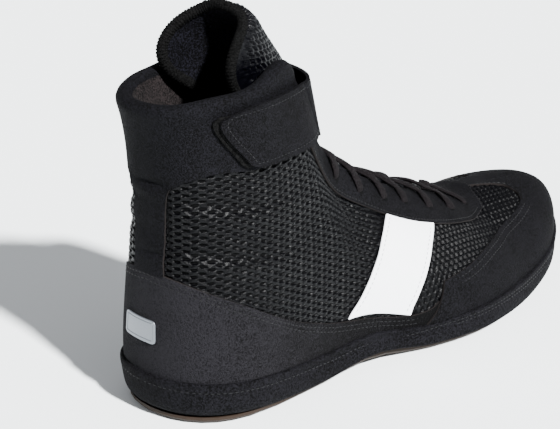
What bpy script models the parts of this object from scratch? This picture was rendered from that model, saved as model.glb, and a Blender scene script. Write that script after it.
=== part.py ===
import math

import bmesh
import bpy
import numpy as np
from mathutils import Matrix, Vector

# A high-top wrestling shoe for the right foot, in metres.
# The toe points along +X, the lateral side is at -Y and the shoe stands on its sole.

# Driving sizes
LENGTH = 0.290
BALL_WIDTH = 0.098
COLLAR_HEIGHT = 0.148
TOE_SPRING = 0.014
ARCH_RISE = 0.0025
GAP = 0.0003
SEAT = 0.0004

# Sole and insole
SOLE_STACK = 0.0082
OUTSOLE_LIP = 0.0035
LIP_REACH = 0.0006
TREAD_INSET = 0.0026
FLANGE_WIDTH = 0.008
GROOVE_DEPTH = 0.0012
GROOVE_WIDTH = 0.003
GROOVE_PITCH = 0.0125
INSOLE_THICKNESS = 0.004
INSOLE_INSET = 0.0027

# Upper, overlays and rand
WALL = 0.002
COLLAR_PAD = 0.0055
OVERLAY = 0.0012
OVERLAY_MARGIN = 0.010
RAND_WALL = 0.0026
RAND_BELLY = 0.0042
TONGUE_THICKNESS = 0.0035
TONGUE_CLEARANCE = 0.0008
TONGUE_ROOT = 0.012
TONGUE_DROP = 0.0085

# Closure
STRAP_THICKNESS = 0.0016
STRAP_PAD_THICKNESS = 0.0008
EYELET_RADIUS = 0.0019
EYELET_EDGE = 0.0065
LACE_RADIUS = 0.0013
LACE_APART = 0.07
LACE_CLEARANCE = 0.0009
LACE_BOW = 0.0022
TONGUE_BOW = 0.0012

# Where the arch, the toe spring and the shift of the ridge begin and end, as shares of LENGTH
ARCH = (0.27, 0.50)
SPRING_START = 0.707
RIDGE_SHIFT = 0.092
RIDGE_SHIFT_SPAN = (0.414, 0.828)
RIDGE_SHOULDER = 0.985

# The last, as ribs from the feather line up to the top line, heel to toe.
# x and top_x are shares of LENGTH, heights are shares of COLLAR_HEIGHT,
# and widths and outward pulls are shares of BALL_WIDTH.
RIB_COLUMNS = ("x", "lateral", "medial", "out", "rise",
               "top_x", "top_lateral", "top_medial", "top_z", "top_out", "top_fall")
RIBS = {
    "heel_back":   (0.014, 0.000, 0.000, 0.082, 0.189, -0.017, 0.000, 0.000, 0.963, -0.173, 0.297),
    "heel_corner": (0.038, 0.224, 0.214, 0.071, 0.189, 0.003, 0.179, 0.163, 0.970, -0.133, 0.311),
    "heel_side":   (0.114, 0.347, 0.316, 0.051, 0.189, 0.059, 0.270, 0.250, 0.986, -0.071, 0.311),
    "ankle":       (0.228, 0.357, 0.306, 0.051, 0.203, 0.141, 0.291, 0.286, 1.003, -0.020, 0.324),
    "shaft":       (0.324, 0.347, 0.286, 0.051, 0.216, 0.221, 0.235, 0.235, 1.027, 0.020, 0.311),
    "instep":      (0.414, 0.378, 0.286, 0.051, 0.216, 0.290, 0.168, 0.163, 0.804, 0.082, 0.230),
    "waist":       (0.503, 0.449, 0.316, 0.041, 0.176, 0.372, 0.133, 0.133, 0.635, 0.143, 0.149),
    "joint":       (0.607, 0.495, 0.408, 0.041, 0.149, 0.493, 0.122, 0.122, 0.507, 0.204, 0.081),
    "ball":        (0.710, 0.459, 0.459, 0.041, 0.128, 0.614, 0.092, 0.092, 0.412, 0.245, 0.041),
    "vamp":        (0.800, 0.388, 0.449, 0.046, 0.115, 0.710, 0.000, 0.000, 0.348, 0.276, 0.020),
    "toe_box":     (0.883, 0.291, 0.408, 0.071, 0.108, 0.790, 0.000, 0.000, 0.318, 0.286, 0.010),
    "toe_side":    (0.948, 0.153, 0.337, 0.092, 0.115, 0.859, 0.000, 0.000, 0.301, 0.255, 0.003),
    "toe_corner":  (0.983, 0.020, 0.214, 0.102, 0.122, 0.903, 0.000, 0.000, 0.291, 0.214, 0.000),
    "toe_tip":     (0.993, -0.092, 0.092, 0.102, 0.122, 0.917, 0.000, 0.000, 0.287, 0.194, 0.000),
}
RIB_NUMBER = {name: number for number, name in enumerate(RIBS)}
TOE = len(RIBS) - 1
AROUND = 2 * TOE

# Mesh columns from heel back to toe tip, closer together where the outline turns, and mesh rows
HALF_COLUMNS = (0, 0.27, 0.54, 0.8, 1.1, 1.4, 1.7, *np.arange(2, 10.1, 0.5), *(10 + np.arange(1, 10) / 3))
ROWS_UP = (0, 0.08, 0.17, 0.27, 0.38, 0.49, 0.60, 0.70, 0.78, 0.86, 0.93, 1.0)
LOOP = np.array([*HALF_COLUMNS, *(AROUND - value for value in reversed(HALF_COLUMNS[1:-1]))])

# Edges of the overlays: pairs of a place around the shoe, in ribs from the heel back,
# and a share of the way up the rib. Both sides have the same edges.
RAND_TOP = ((0, 0.140), (1, 0.136), (2, 0.120), (3, 0.100), (4, 0.078), (5, 0.066), (6, 0.080),
            (7, 0.086), (8, 0.090), (9, 0.085), (10, 0.090), (11, 0.110), (12, 0.120), (13, 0.122))
COUNTER_TOP = ((0, 0.505), (1, 0.482), (2, 0.400), (3, 0.262), (4, 0.172), (5, 0.152), (6, 0.190))
CUFF_LOW = ((0, 0.765), (1, 0.792), (2, 0.800), (3, 0.778), (4, 0.780), (5, 0.820))
STAY_LOW = ((4, 0.820), (5, 0.775), (6, 0.775), (7, 0.690), (8, 0.660), (9, 0.690), (10, 0.870))
CAP_TOP = ((6, 0.280), (7, 0.365), (8, 0.475), (9, 0.535), (10, 0.600), (11, 0.680), (12, 0.700), (13, 0.700))
CAP_SEAM = (5.86, 6.50)
CAP_WINDOW = ((0.0, 10.667), (0.25, 10.90), (0.5, 10.90), (0.75, 10.65), (1.0, 10.20))
COUNTER_END = (5.74, 6.02)
CUFF_END = 4.30
CUFF_RIM = 0.992
BACKSTAY = 0.54
STAY_START = 4.40
STAY_FRONT = ((0.0, 9.50), (0.3, 9.70), (1.0, 9.72))
THROAT_TURN = RIB_NUMBER["ball"]
THROAT_END = RIB_NUMBER["vamp"]
EYELETS = (5.74, 6.22, 6.63, 7.00, 7.48, 7.95, 8.62)

# Saddle band and heel badge: their corners around and up
BAND = {"low": (4.20, 5.50), "middle": (5.36, 6.32), "high": (6.50, 7.10)}
BADGE = {"around": (-0.62, 0.30), "up": (0.262, 0.345)}

# The strap over the front of the collar: its edges around and up on each side,
# from the free tip on the lateral side to the seam on the medial side
STRAP_HEIGHTS = (0.785, 0.982)
STRAP_TIP = ((0.0, 2.76), (0.10, 2.55), (0.75, 1.92), (0.90, 1.90), (1.0, 2.05))
STRAP_LEAVES = (4.95, 4.15)
STRAP_REACHES = (0.040, 0.078)
STRAP_DIPS = (0.012, -0.004)
STRAP_SEAM = 2.4
STRAP_PAD_SHOWS = 0.07
STRAP_PAD_FRONT = 3.6

# The free part of the tongue, as half ellipses across: front_x and wrap are shares of LENGTH,
# heights shares of COLLAR_HEIGHT, and widths and shifts shares of BALL_WIDTH
TONGUE_COLUMNS = ("front_x", "front_z", "shift", "half_width", "wrap", "fall", "skew")
TONGUE_ROWS = (
    (0.293, 0.900, 0.008, 0.163, 0.115, 0.000, 0.000),
    (0.277, 1.000, 0.018, 0.184, 0.158, 0.000, 0.010),
    (0.254, 1.054, 0.020, 0.190, 0.147, -0.020, 0.016),
    (0.224, 1.115, 0.018, 0.180, 0.100, -0.020, 0.017),
    (0.198, 1.169, 0.015, 0.146, 0.052, -0.007, 0.018),
    (0.176, 1.207, 0.013, 0.100, 0.014, 0.003, 0.009),
    (0.164, 1.222, 0.010, 0.050, 0.004, 0.000, 0.003),
)
TONGUE_SIDES = (0.80, 0.87, 0.94, 1.0)
TONGUE_BRIDGE = 3
TONGUE_COLUMNS_UNDER = (8.5, 8, 7.5, 7, 6.5, 6, 5.5, 5.1)


# Scene, collections and materials

def clear_scene():
    for item in list(bpy.data.objects):
        bpy.data.objects.remove(item, do_unlink=True)


def new_collection(name):
    collection = bpy.data.collections.new(name)
    bpy.context.scene.collection.children.link(collection)
    return collection


def finish(name, colour, roughness, metallic=0.0):
    material = bpy.data.materials.new(name)
    material.use_nodes = True
    shader = material.node_tree.nodes["Principled BSDF"]
    shader.inputs["Base Color"].default_value = (*colour, 1.0)
    shader.inputs["Roughness"].default_value = roughness
    shader.inputs["Metallic"].default_value = metallic
    material.diffuse_color = (*colour, 1.0)
    return material


def add_mesh(name, mesh, material, collection):
    mesh.name = name
    mesh.materials.clear()
    mesh.materials.append(material)
    item = bpy.data.objects.new(name, mesh)
    collection.objects.link(item)
    return item


# Interpolation

class LoopSpline:
    # A smooth closed curve through rows of numbers, one unit of travel from row to row
    def __init__(self, rows):
        self.rows = np.array(rows, float)
        self.count = len(self.rows)
        unit = np.eye(self.count)
        system = 4 * unit + np.roll(unit, 1, 0) + np.roll(unit, -1, 0)
        turn = np.roll(self.rows, -1, 0) - 2 * self.rows + np.roll(self.rows, 1, 0)
        self.bend = np.linalg.solve(system, 6 * turn)

    def at(self, travel):
        travel = np.mod(travel, self.count)
        start = np.floor(travel).astype(int) % self.count
        end = (start + 1) % self.count
        after = (travel - np.floor(travel))[..., None]
        before = 1 - after
        bend = (before ** 3 - before) * self.bend[start] + (after ** 3 - after) * self.bend[end]
        return before * self.rows[start] + after * self.rows[end] + bend / 6


def smooth_step(value, low, high):
    share = np.clip((np.asarray(value, float) - low) / (high - low), 0, 1)
    return share * share * (3 - 2 * share)


def along(pairs, place):
    # A smooth line through pairs of place and value, level past both ends
    places, values = np.array(pairs, float).T
    slopes = np.gradient(values, places)
    place = np.clip(place, places[0], places[-1])
    start = np.clip(np.searchsorted(places, place, side="right") - 1, 0, len(places) - 2)
    width = places[start + 1] - places[start]
    share = (place - places[start]) / width
    rise = share * share * (3 - 2 * share)
    pull_in = share * (1 - share) ** 2 * width * slopes[start]
    pull_out = share * share * (1 - share) * width * slopes[start + 1]
    return values[start] + rise * (values[start + 1] - values[start]) + pull_in - pull_out


def fold(around):
    # The same place counted from the heel back on either side
    turned = np.mod(around, AROUND)
    return np.minimum(turned, AROUND - turned)


# The last's surface: around runs heel, lateral side, toe, medial side; up runs feather to top

def ground(x):
    # Height of the sole's underside: flat heel and forefoot, raised arch and toe spring
    share = np.clip((x / LENGTH - ARCH[0]) / (ARCH[1] - ARCH[0]), 0, 1)
    arch = ARCH_RISE * 0.5 * (1 - np.cos(2 * math.pi * share))
    spring = np.clip((x / LENGTH - SPRING_START) / (1 - SPRING_START), 0, None)
    return arch + TOE_SPRING * spring ** 2


def ridge(x):
    low, high = RIDGE_SHIFT_SPAN
    return RIDGE_SHIFT * BALL_WIDTH * smooth_step(x / LENGTH, low, high)


def rib_rows():
    names = list(RIBS)
    order = [(names[0], 1)]
    order += [(name, -1) for name in names[1:-1]]
    order += [(names[-1], 1)]
    order += [(name, 1) for name in reversed(names[1:-1])]
    rows = []
    for name, side in order:
        rib = dict(zip(RIB_COLUMNS, RIBS[name]))
        width = rib["lateral"] if side < 0 else rib["medial"]
        top_width = rib["top_lateral"] if side < 0 else rib["top_medial"]
        rows.append((rib["x"] * LENGTH, side * width * BALL_WIDTH,
                     rib["out"] * BALL_WIDTH, rib["rise"] * COLLAR_HEIGHT,
                     rib["top_x"] * LENGTH, side * top_width * BALL_WIDTH, rib["top_z"] * COLLAR_HEIGHT,
                     rib["top_out"] * BALL_WIDTH, rib["top_fall"] * COLLAR_HEIGHT))
    return rows


LAST = LoopSpline(rib_rows())


def feather(around, offset=0.0):
    # A point of the feather line in plan, moved outwards by offset
    place = LAST.at(around)[..., :2]
    return place + outward(around) * np.asarray(offset, float)[..., None]


def outward(around):
    reach = 1e-3
    way = LAST.at(around + reach)[..., :2] - LAST.at(around - reach)[..., :2]
    side = np.stack([way[..., 1], -way[..., 0]], -1)
    return side / np.linalg.norm(side, axis=-1, keepdims=True)


def throat_edge(around, half):
    # Half the throat's width, negative on the lateral side, drawn in to nothing at its front end
    side = np.where(np.mod(around, AROUND) < TOE, 1, -1)
    turn = side * LAST.at(np.float64(THROAT_TURN))[5]
    past = smooth_step(fold(around), THROAT_TURN, THROAT_END)
    return np.where(fold(around) < THROAT_TURN, half, turn * (1 - past))


def rib_point(around, up):
    row = LAST.at(around)
    foot_x, foot_y, out, rise, top_x, half, top_z, top_out, top_fall = np.moveaxis(row, -1, 0)
    way = outward(around)
    foot = np.stack([foot_x, foot_y, ground(foot_x) + SOLE_STACK + GAP], -1)
    top = np.stack([top_x, throat_edge(around, half) + ridge(top_x), top_z], -1)
    low_pull = foot + np.stack([way[..., 0] * out, way[..., 1] * out, rise], -1)
    top_pull = top + np.stack([way[..., 0] * top_out, way[..., 1] * top_out, -top_fall], -1)
    t = np.asarray(up, float)[..., None]
    s = 1 - t
    return s ** 3 * foot + 3 * s * s * t * low_pull + 3 * s * t * t * top_pull + t ** 3 * top


def rib_normal(around, up):
    reach = 1e-3
    # Ribs meet along the ridge in front of the throat, so the way round is read just below it
    up = np.where(fold(around) >= THROAT_END - 1e-6, np.minimum(up, RIDGE_SHOULDER), up)
    along_loop = rib_point(around + reach, up) - rib_point(around - reach, up)
    up_rib = rib_point(around, np.clip(up + reach, 0, 1)) - rib_point(around, np.clip(up - reach, 0, 1))
    normal = np.cross(along_loop, up_rib)
    return normal / np.linalg.norm(normal, axis=-1, keepdims=True)


def surface(around, up, lift=0.0):
    # A point of the upper, lifted off its outer face; the two sides agree along the ridge
    around, up, lift = np.broadcast_arrays(np.asarray(around, float), np.asarray(up, float),
                                           np.asarray(lift, float))
    here = rib_point(around, up) + rib_normal(around, up) * lift[..., None]
    there = rib_point(-around, up) + rib_normal(-around, up) * lift[..., None]
    joined = (up > 1 - 1e-6) & (fold(around) >= THROAT_END - 1e-6)
    return np.where(joined[..., None], (here + there) / 2, here)


# Mesh building

def add_grid(bm, points, closed=False):
    # Quads over a grid of points; closed joins the last column to the first
    verts = [[bm.verts.new(point) for point in column] for column in points]
    count = len(verts)
    for i in range(count if closed else count - 1):
        left, right = verts[i], verts[(i + 1) % count]
        for j in range(len(left) - 1):
            bm.faces.new((left[j], right[j], right[j + 1], left[j + 1]))
    return verts


def close_mesh(bm, name, weld=2e-5):
    bmesh.ops.remove_doubles(bm, verts=bm.verts, dist=weld)
    bmesh.ops.dissolve_degenerate(bm, edges=bm.edges, dist=1e-6)
    bmesh.ops.recalc_face_normals(bm, faces=bm.faces)
    for face in bm.faces:
        face.smooth = True
    mesh = bpy.data.meshes.new(name)
    bm.to_mesh(mesh)
    bm.free()
    mesh.set_sharp_from_angle(angle=math.radians(40))
    return mesh


def overlay(name, grids, material, collection, lift=SEAT, thickness=OVERLAY):
    # A sheet over the upper: grids of places around and up, welded and thickened outwards
    bm = bmesh.new()
    for around, up in grids:
        add_grid(bm, surface(around, up, lift))
    bmesh.ops.remove_doubles(bm, verts=bm.verts, dist=2e-5)
    mesh = bpy.data.meshes.new(name)
    for face in bm.faces:
        face.smooth = True
    bm.to_mesh(mesh)
    bm.free()
    item = add_mesh(name, mesh, material, collection)
    wall = item.modifiers.new("thickness", "SOLIDIFY")
    wall.thickness = thickness
    wall.offset = 1
    wall.use_quality_normals = True
    return item


def between(low, high):
    # The mesh columns of one side that lie between two places
    return [value for value in HALF_COLUMNS if low + 1e-6 < value < high - 1e-6]


def level(edge, around):
    # An overlay's edge is a line of places and heights or one height
    return along(edge, fold(around)) if isinstance(edge, tuple) else edge + 0 * around


def band_grid(columns, edges):
    # Places around from a list of columns, places up from a list of edges
    around = np.repeat(np.asarray(columns, float)[:, None], len(edges), 1)
    up = np.stack([level(edge, around[:, row]) for row, edge in enumerate(edges)], 1)
    return around, up


def mirrored(grid):
    # The same grid on the other side of the shoe, its columns reversed to face outwards
    around, up = grid
    return -around[::-1], up[::-1]


def above(line, margin):
    return tuple((place, value + margin) for place, value in line)


def ring_fill(bm, ring, rungs, height):
    # Fill a closed ring of verts with rungs from side to side, the height worked out at each point
    count = len(ring)
    rows = []
    for i in range(1, count // 2):
        left, right = ring[i], ring[count - i]
        row = [left]
        for k in range(1, rungs):
            place = left.co.lerp(right.co, k / rungs)
            row.append(bm.verts.new((place.x, place.y, height(place.x))))
        row.append(right)
        rows.append(row)
    for near, far in zip(rows, rows[1:]):
        for k in range(rungs):
            bm.faces.new((near[k], near[k + 1], far[k + 1], far[k]))
    for tip, row in ((ring[0], rows[0]), (ring[count // 2], rows[-1])):
        for k in range(rungs):
            bm.faces.new((tip, row[k], row[k + 1]))


def plan_ring(offset, height):
    # A closed line round the foot: an outward offset from the feather and a height above the ground
    plan = feather(LOOP, np.full(len(LOOP), offset))
    return np.column_stack([plan, ground(plan[:, 0]) + height])


def plate(bm, profile, rungs=3):
    # A plate with the foot's outline, from a profile of offsets and heights
    verts = add_grid(bm, np.stack([plan_ring(*place) for place in profile], 1), closed=True)
    bottom, top = profile[0][1], profile[-1][1]
    ring_fill(bm, [column[0] for column in verts], rungs, lambda x: ground(x) + bottom)
    ring_fill(bm, [column[-1] for column in verts], rungs, lambda x: ground(x) + top)


# Sole

def make_outsole(material, collection, cutters):
    profile = ((-TREAD_INSET, 0.0), (-0.2 * TREAD_INSET, 0.25 * OUTSOLE_LIP),
               (LIP_REACH, 0.62 * OUTSOLE_LIP), (LIP_REACH, OUTSOLE_LIP),
               (-FLANGE_WIDTH - GAP, OUTSOLE_LIP), (-FLANGE_WIDTH - GAP, SOLE_STACK))
    bm = bmesh.new()
    plate(bm, profile)
    item = add_mesh("outsole", close_mesh(bm, "outsole"), material, collection)
    cutter = groove_cutter(material, cutters)
    cut = item.modifiers.new("grooves", "BOOLEAN")
    cut.operation = "DIFFERENCE"
    cut.solver = "EXACT"
    cut.object = cutter
    return item


def groove_cutter(material, cutters):
    # Flex grooves across the flat of the heel and of the forefoot
    heel = np.arange(0.09 * LENGTH, ARCH[0] * LENGTH, GROOVE_PITCH)
    forefoot = np.arange(ARCH[1] * LENGTH + GROOVE_PITCH / 2, SPRING_START * LENGTH, GROOVE_PITCH)
    bm = bmesh.new()
    for x in (*heel, *forefoot):
        size = Matrix.Diagonal((GROOVE_WIDTH, 2 * BALL_WIDTH, 2 * GROOVE_DEPTH, 1))
        bmesh.ops.create_cube(bm, size=1, matrix=Matrix.Translation((x, 0, 0)) @ size)
    mesh = bpy.data.meshes.new("groove_cutter")
    bm.to_mesh(mesh)
    bm.free()
    cutter = add_mesh("groove_cutter", mesh, material, cutters)
    cutter.hide_render = True
    cutter.display_type = "WIRE"
    return cutter


def make_insole(material, collection):
    low = SOLE_STACK + GAP
    profile = ((-INSOLE_INSET, low), (-INSOLE_INSET, low + INSOLE_THICKNESS))
    bm = bmesh.new()
    plate(bm, profile)
    return add_mesh("insole", close_mesh(bm, "insole"), material, collection)


def make_rand(material, collection):
    # The suede wrap round the foot of the shoe: a flange under the upper and a wall outside it
    top = along(RAND_TOP, fold(LOOP))
    under = OUTSOLE_LIP + GAP
    fall = SOLE_STACK - under
    rings = [plan_ring(-FLANGE_WIDTH, under), plan_ring(-FLANGE_WIDTH, SOLE_STACK),
             plan_ring(SEAT, SOLE_STACK)]
    rings += [surface(LOOP, top * share, SEAT) for share in (0.5, 1.0)]
    rings += [surface(LOOP, top * share, RAND_WALL) for share in (1.0, 0.55)]
    rings += [plan_ring(RAND_BELLY, under + 0.6 * fall), plan_ring(0.5 * RAND_BELLY, under + 0.1 * fall)]
    rings.append(rings[0])
    bm = bmesh.new()
    add_grid(bm, np.stack(rings, 1), closed=True)
    return add_mesh("rand", close_mesh(bm, "rand"), material, collection)


# Upper

def wall_at(around, up):
    # Thickness of the upper's wall: mesh cloth, and foam towards the collar
    collar = 1 - smooth_step(fold(around), CUFF_END - 0.5, CUFF_END + 0.6)
    return WALL + (COLLAR_PAD - WALL) * smooth_step(up, 0.72, 0.92) * collar


def make_upper(material, collection):
    around, up = np.meshgrid(LOOP, ROWS_UP, indexing="ij")
    wall = wall_at(around, up)
    outer = surface(around, up)
    inner = surface(around, up, -wall)
    bm = bmesh.new()
    add_grid(bm, outer, closed=True)
    add_grid(bm, inner[:, ::-1], closed=True)
    add_grid(bm, np.stack([inner[:, 0], outer[:, 0]], 1), closed=True)

    # The rounded rim along the collar and the throat
    way = surface(LOOP, 1.0) - surface(LOOP, 0.97)
    way /= np.linalg.norm(way, axis=-1, keepdims=True)
    way[fold(LOOP) > THROAT_END - 1e-6] = 0
    crest = way * 0.4 * wall[:, -1:]
    rim = np.stack([outer[:, -1], surface(LOOP, 1.0, -0.2 * wall[:, -1]) + crest,
                    surface(LOOP, 1.0, -0.8 * wall[:, -1]) + crest, inner[:, -1]], 1)
    ends = HALF_COLUMNS.index(THROAT_END)
    order = [index % len(LOOP) for index in range(-ends, ends + 1)]
    add_grid(bm, rim[order])
    return add_mesh("upper", close_mesh(bm, "upper"), material, collection)


def make_counter(material, collection):
    side = between(0, COUNTER_END[0] - 0.2)
    rows = 5
    share = np.linspace(0, 1, rows)
    end = COUNTER_END[0] + (COUNTER_END[1] - COUNTER_END[0]) * share
    columns = [*(-value for value in reversed(side)), 0, *side]
    around = np.vstack([-end, np.repeat(np.array(columns)[:, None], rows, 1), end])
    low = level(above(RAND_TOP, OVERLAY_MARGIN), around)
    high = level(COUNTER_TOP, around)
    return overlay("counter", [(around, low + (high - low) * share)], material, collection)


def make_toe_cap(material, collection):
    # A band round the forefoot and two blocks that close over the toe, with a window between
    rows = 5
    share = np.linspace(0, 1, rows)
    seam = CAP_SEAM[0] + (CAP_SEAM[1] - CAP_SEAM[0]) * share
    side = between(CAP_SEAM[1] + 0.2, TOE)
    columns = [*side, TOE, *(AROUND - value for value in reversed(side))]
    next_to_seam = (seam + side[0]) / 2
    around = np.vstack([seam, next_to_seam, np.repeat(np.array(columns)[:, None], rows, 1),
                        AROUND - next_to_seam, AROUND - seam])
    low = level(above(RAND_TOP, OVERLAY_MARGIN), around)
    high = level(CAP_TOP, around)
    band = (around, low + (high - low) * share)

    share = np.linspace(0, 1, 5)
    left = along(CAP_WINDOW, share)
    count = len(between(CAP_WINDOW[0][1] - 0.01, TOE))
    block_around = left + (TOE - left) * np.linspace(0, 1, count + 1)[:, None]
    block_low = level(CAP_TOP, block_around)
    block = (block_around, block_low + (1 - block_low) * share)
    return overlay("toe_cap", [band, block, mirrored(block)], material, collection)


def make_cuff(material, collection):
    side = [*between(BACKSTAY - 0.01, CUFF_END - 0.1), CUFF_END]
    back = [-BACKSTAY, -HALF_COLUMNS[1], 0, HALF_COLUMNS[1], BACKSTAY]
    columns = [*(-value for value in reversed(side)), *back[1:-1], *side]
    ring = band_grid(columns, [CUFF_LOW, 0.86, 0.93, CUFF_RIM])
    strip = band_grid(back, [above(COUNTER_TOP, OVERLAY_MARGIN), 0.60, 0.70, CUFF_LOW])
    return overlay("cuff", [ring, strip], material, collection)


def stay_grid():
    rows = 5
    share = np.linspace(0, 1, rows)
    columns = [STAY_START, *between(STAY_START + 0.05, STAY_FRONT[0][1] - 0.1)]
    around = np.repeat(np.array(columns)[:, None], rows, 1)
    front = along(STAY_FRONT, share)
    around = np.vstack([around, (columns[-1] + front) / 2, front])
    low = level(STAY_LOW, around)
    return around, low + (1 - low) * share


def eyelet_place(number, side, shift=0.0):
    # Centre of an eyelet, its edge distance measured from the throat's edge
    around = (EYELETS[number] + shift) * side
    up = 1.0
    edge = surface(around, 1.0)
    while np.linalg.norm(surface(around, up) - edge) < EYELET_EDGE and up > 0.5:
        up -= 0.002
    return around, up


def make_eyestay(material, collection, cutters):
    grid = stay_grid()
    item = overlay("eyestay", [grid, mirrored(grid)], material, collection, lift=1.6 * SEAT)
    bm = bmesh.new()
    for number in range(len(EYELETS)):
        for side in (1, -1):
            around, up = eyelet_place(number, side)
            centre = Vector(surface(around, up, SEAT + OVERLAY / 2))
            turn = Vector(rib_normal(np.float64(around), np.float64(up))).to_track_quat("Z", "Y")
            bmesh.ops.create_cone(bm, cap_ends=True, segments=8, radius1=EYELET_RADIUS,
                                  radius2=EYELET_RADIUS, depth=4 * OVERLAY,
                                  matrix=Matrix.Translation(centre) @ turn.to_matrix().to_4x4())
    mesh = bpy.data.meshes.new("eyelet_cutter")
    bm.to_mesh(mesh)
    bm.free()
    cutter = add_mesh("eyelet_cutter", mesh, material, cutters)
    cutter.hide_render = True
    cutter.display_type = "WIRE"
    cut = item.modifiers.new("eyelets", "BOOLEAN")
    cut.operation = "DIFFERENCE"
    cut.solver = "EXACT"
    cut.object = cutter
    return item


def band_patch(side):
    # The slanted saddle band, from the counter's edge up to the eyestay's
    share = np.linspace(0, 1, 7)[None, :]
    across = np.linspace(0, 1, 5)[:, None]
    rear, front = (along(tuple(zip((0, 0.5, 1), line)), share)
                   for line in zip(BAND["low"], BAND["middle"], BAND["high"]))
    around = rear + (front - rear) * across
    low = level(above(COUNTER_TOP, OVERLAY_MARGIN), around)
    high = level(above(STAY_LOW, -OVERLAY_MARGIN), around)
    grid = (around, low + (high - low) * share)
    return grid if side > 0 else mirrored(grid)


def make_badge(material, collection):
    columns = np.linspace(*BADGE["around"], 5)
    low, high = BADGE["up"]
    around = np.repeat(columns[:, None], 4, 1)
    up = np.linspace(low, high, 4)[None, :] + 0 * around
    return overlay("heel_badge", [(around, up)], material, collection,
                   lift=2 * SEAT + OVERLAY, thickness=0.5 * OVERLAY)


# Tongue and strap

def throat_normal(around):
    # Straight out of the shoe in the middle of the throat
    edges = [rib_normal(np.float64(place), np.float64(1)) for place in (around, -around)]
    middle = edges[0] + edges[1]
    return middle / np.linalg.norm(middle)


def up_at_height(around, height):
    # How far up a rib a height lies, by halving
    low, high = np.zeros_like(around), np.ones_like(around)
    for _ in range(20):
        middle = (low + high) / 2
        over = rib_point(around, middle)[..., 2] > height
        low, high = np.where(over, low, middle), np.where(over, middle, high)
    return low


def tongue_row(around, rise=WALL + TONGUE_BOW):
    # Across the tongue under the throat: up one side of the upper, over, and down the other
    depth = -(WALL + TONGUE_CLEARANCE)
    ups = np.array(TONGUE_SIDES)
    lateral = surface(around, ups, depth - wall_at(around, ups) + WALL)
    medial = surface(-around, ups, depth - wall_at(around, ups) + WALL)
    share = np.linspace(0, 1, TONGUE_BRIDGE + 2)[1:-1, None]
    bow = throat_normal(around) * rise
    across = lateral[-1] + (medial[-1] - lateral[-1]) * share + bow * np.sin(math.pi * share)
    return np.vstack([lateral, across, medial[::-1]])


def tongue_free_row(row, count):
    part = dict(zip(TONGUE_COLUMNS, row))
    turn = np.linspace(-math.pi / 2, math.pi / 2, count)
    back = 1 - np.cos(turn)
    x = part["front_x"] * LENGTH - part["wrap"] * LENGTH * back - part["skew"] * LENGTH * np.sin(turn)
    y = part["shift"] * BALL_WIDTH + part["half_width"] * BALL_WIDTH * np.sin(turn)
    z = part["front_z"] * COLLAR_HEIGHT - part["fall"] * COLLAR_HEIGHT * back
    return np.column_stack([x, y, z])


def make_tongue(material, collection):
    rows = [tongue_row(around) for around in TONGUE_COLUMNS_UNDER]
    root = tongue_row(TONGUE_COLUMNS_UNDER[0], 0) + np.array([TONGUE_ROOT, 0, -TONGUE_DROP])
    rows.insert(0, root)
    count = len(rows[0])
    rows += [tongue_free_row(row, count) for row in TONGUE_ROWS]
    bm = bmesh.new()
    add_grid(bm, np.stack(rows))
    bmesh.ops.recalc_face_normals(bm, faces=bm.faces)
    for face in bm.faces:
        face.smooth = True
    mesh = bpy.data.meshes.new("tongue")
    bm.to_mesh(mesh)
    bm.free()
    item = add_mesh("tongue", mesh, material, collection)
    wall = item.modifiers.new("thickness", "SOLIDIFY")
    wall.thickness = TONGUE_THICKNESS
    wall.offset = -1
    wall.use_quality_normals = True
    return item


def strap_points(rows, lift):
    # Columns along the strap from its lateral tip, round the front, to its medial seam
    share = np.linspace(0, 1, rows)
    height = COLLAR_HEIGHT * (STRAP_HEIGHTS[0] + (STRAP_HEIGHTS[1] - STRAP_HEIGHTS[0]) * share)
    tip = along(STRAP_TIP, share)
    leave = STRAP_LEAVES[0] + (STRAP_LEAVES[1] - STRAP_LEAVES[0]) * share
    reach = LENGTH * (STRAP_REACHES[0] + (STRAP_REACHES[1] - STRAP_REACHES[0]) * share)
    dip = LENGTH * (STRAP_DIPS[0] + (STRAP_DIPS[1] - STRAP_DIPS[0]) * share)

    def side(start, end, count, sign):
        columns = []
        for part in np.linspace(0, 1, count):
            around = start + (end - start) * part
            columns.append(surface(sign * around, up_at_height(around, height), lift))
        return columns

    lateral = side(tip, leave, 9, 1)
    medial = side(leave, np.full(rows, STRAP_SEAM), 8, -1)
    pull = np.column_stack([reach, 0 * reach, -dip])
    front = []
    for part in np.linspace(0, 1, 9)[1:-1]:
        rest = 1 - part
        front.append(rest ** 3 * lateral[-1] + 3 * rest * rest * part * (lateral[-1] + pull)
                     + 3 * rest * part * part * (medial[0] + pull) + part ** 3 * medial[0])
    return np.stack(lateral + front + medial)


def make_strap(material, collection):
    lift = 3 * SEAT + OVERLAY + STRAP_PAD_THICKNESS
    bm = bmesh.new()
    add_grid(bm, strap_points(5, lift))
    for face in bm.faces:
        face.smooth = True
    mesh = bpy.data.meshes.new("strap")
    bm.to_mesh(mesh)
    bm.free()
    item = add_mesh("strap", mesh, material, collection)
    wall = item.modifiers.new("thickness", "SOLIDIFY")
    wall.thickness = STRAP_THICKNESS
    wall.offset = 1
    wall.use_quality_normals = True
    return item


def make_strap_pad(material, collection):
    # The loop pad that the strap's tip closes on
    share = np.linspace(0, 1, 4)
    rise = STRAP_HEIGHTS[1] - STRAP_HEIGHTS[0]
    height = COLLAR_HEIGHT * (STRAP_HEIGHTS[0] + rise * (0.02 + 0.88 * share))
    rear = along(STRAP_TIP, 0.02 + 0.88 * share) - STRAP_PAD_SHOWS
    parts = np.linspace(0, 1, 7)[:, None]
    around = rear + (STRAP_PAD_FRONT - rear) * parts
    up = up_at_height(around, height + 0 * around)
    return overlay("strap_pad", [(around, up)], material, collection,
                   lift=2 * SEAT + OVERLAY, thickness=STRAP_PAD_THICKNESS)


# Laces

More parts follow.
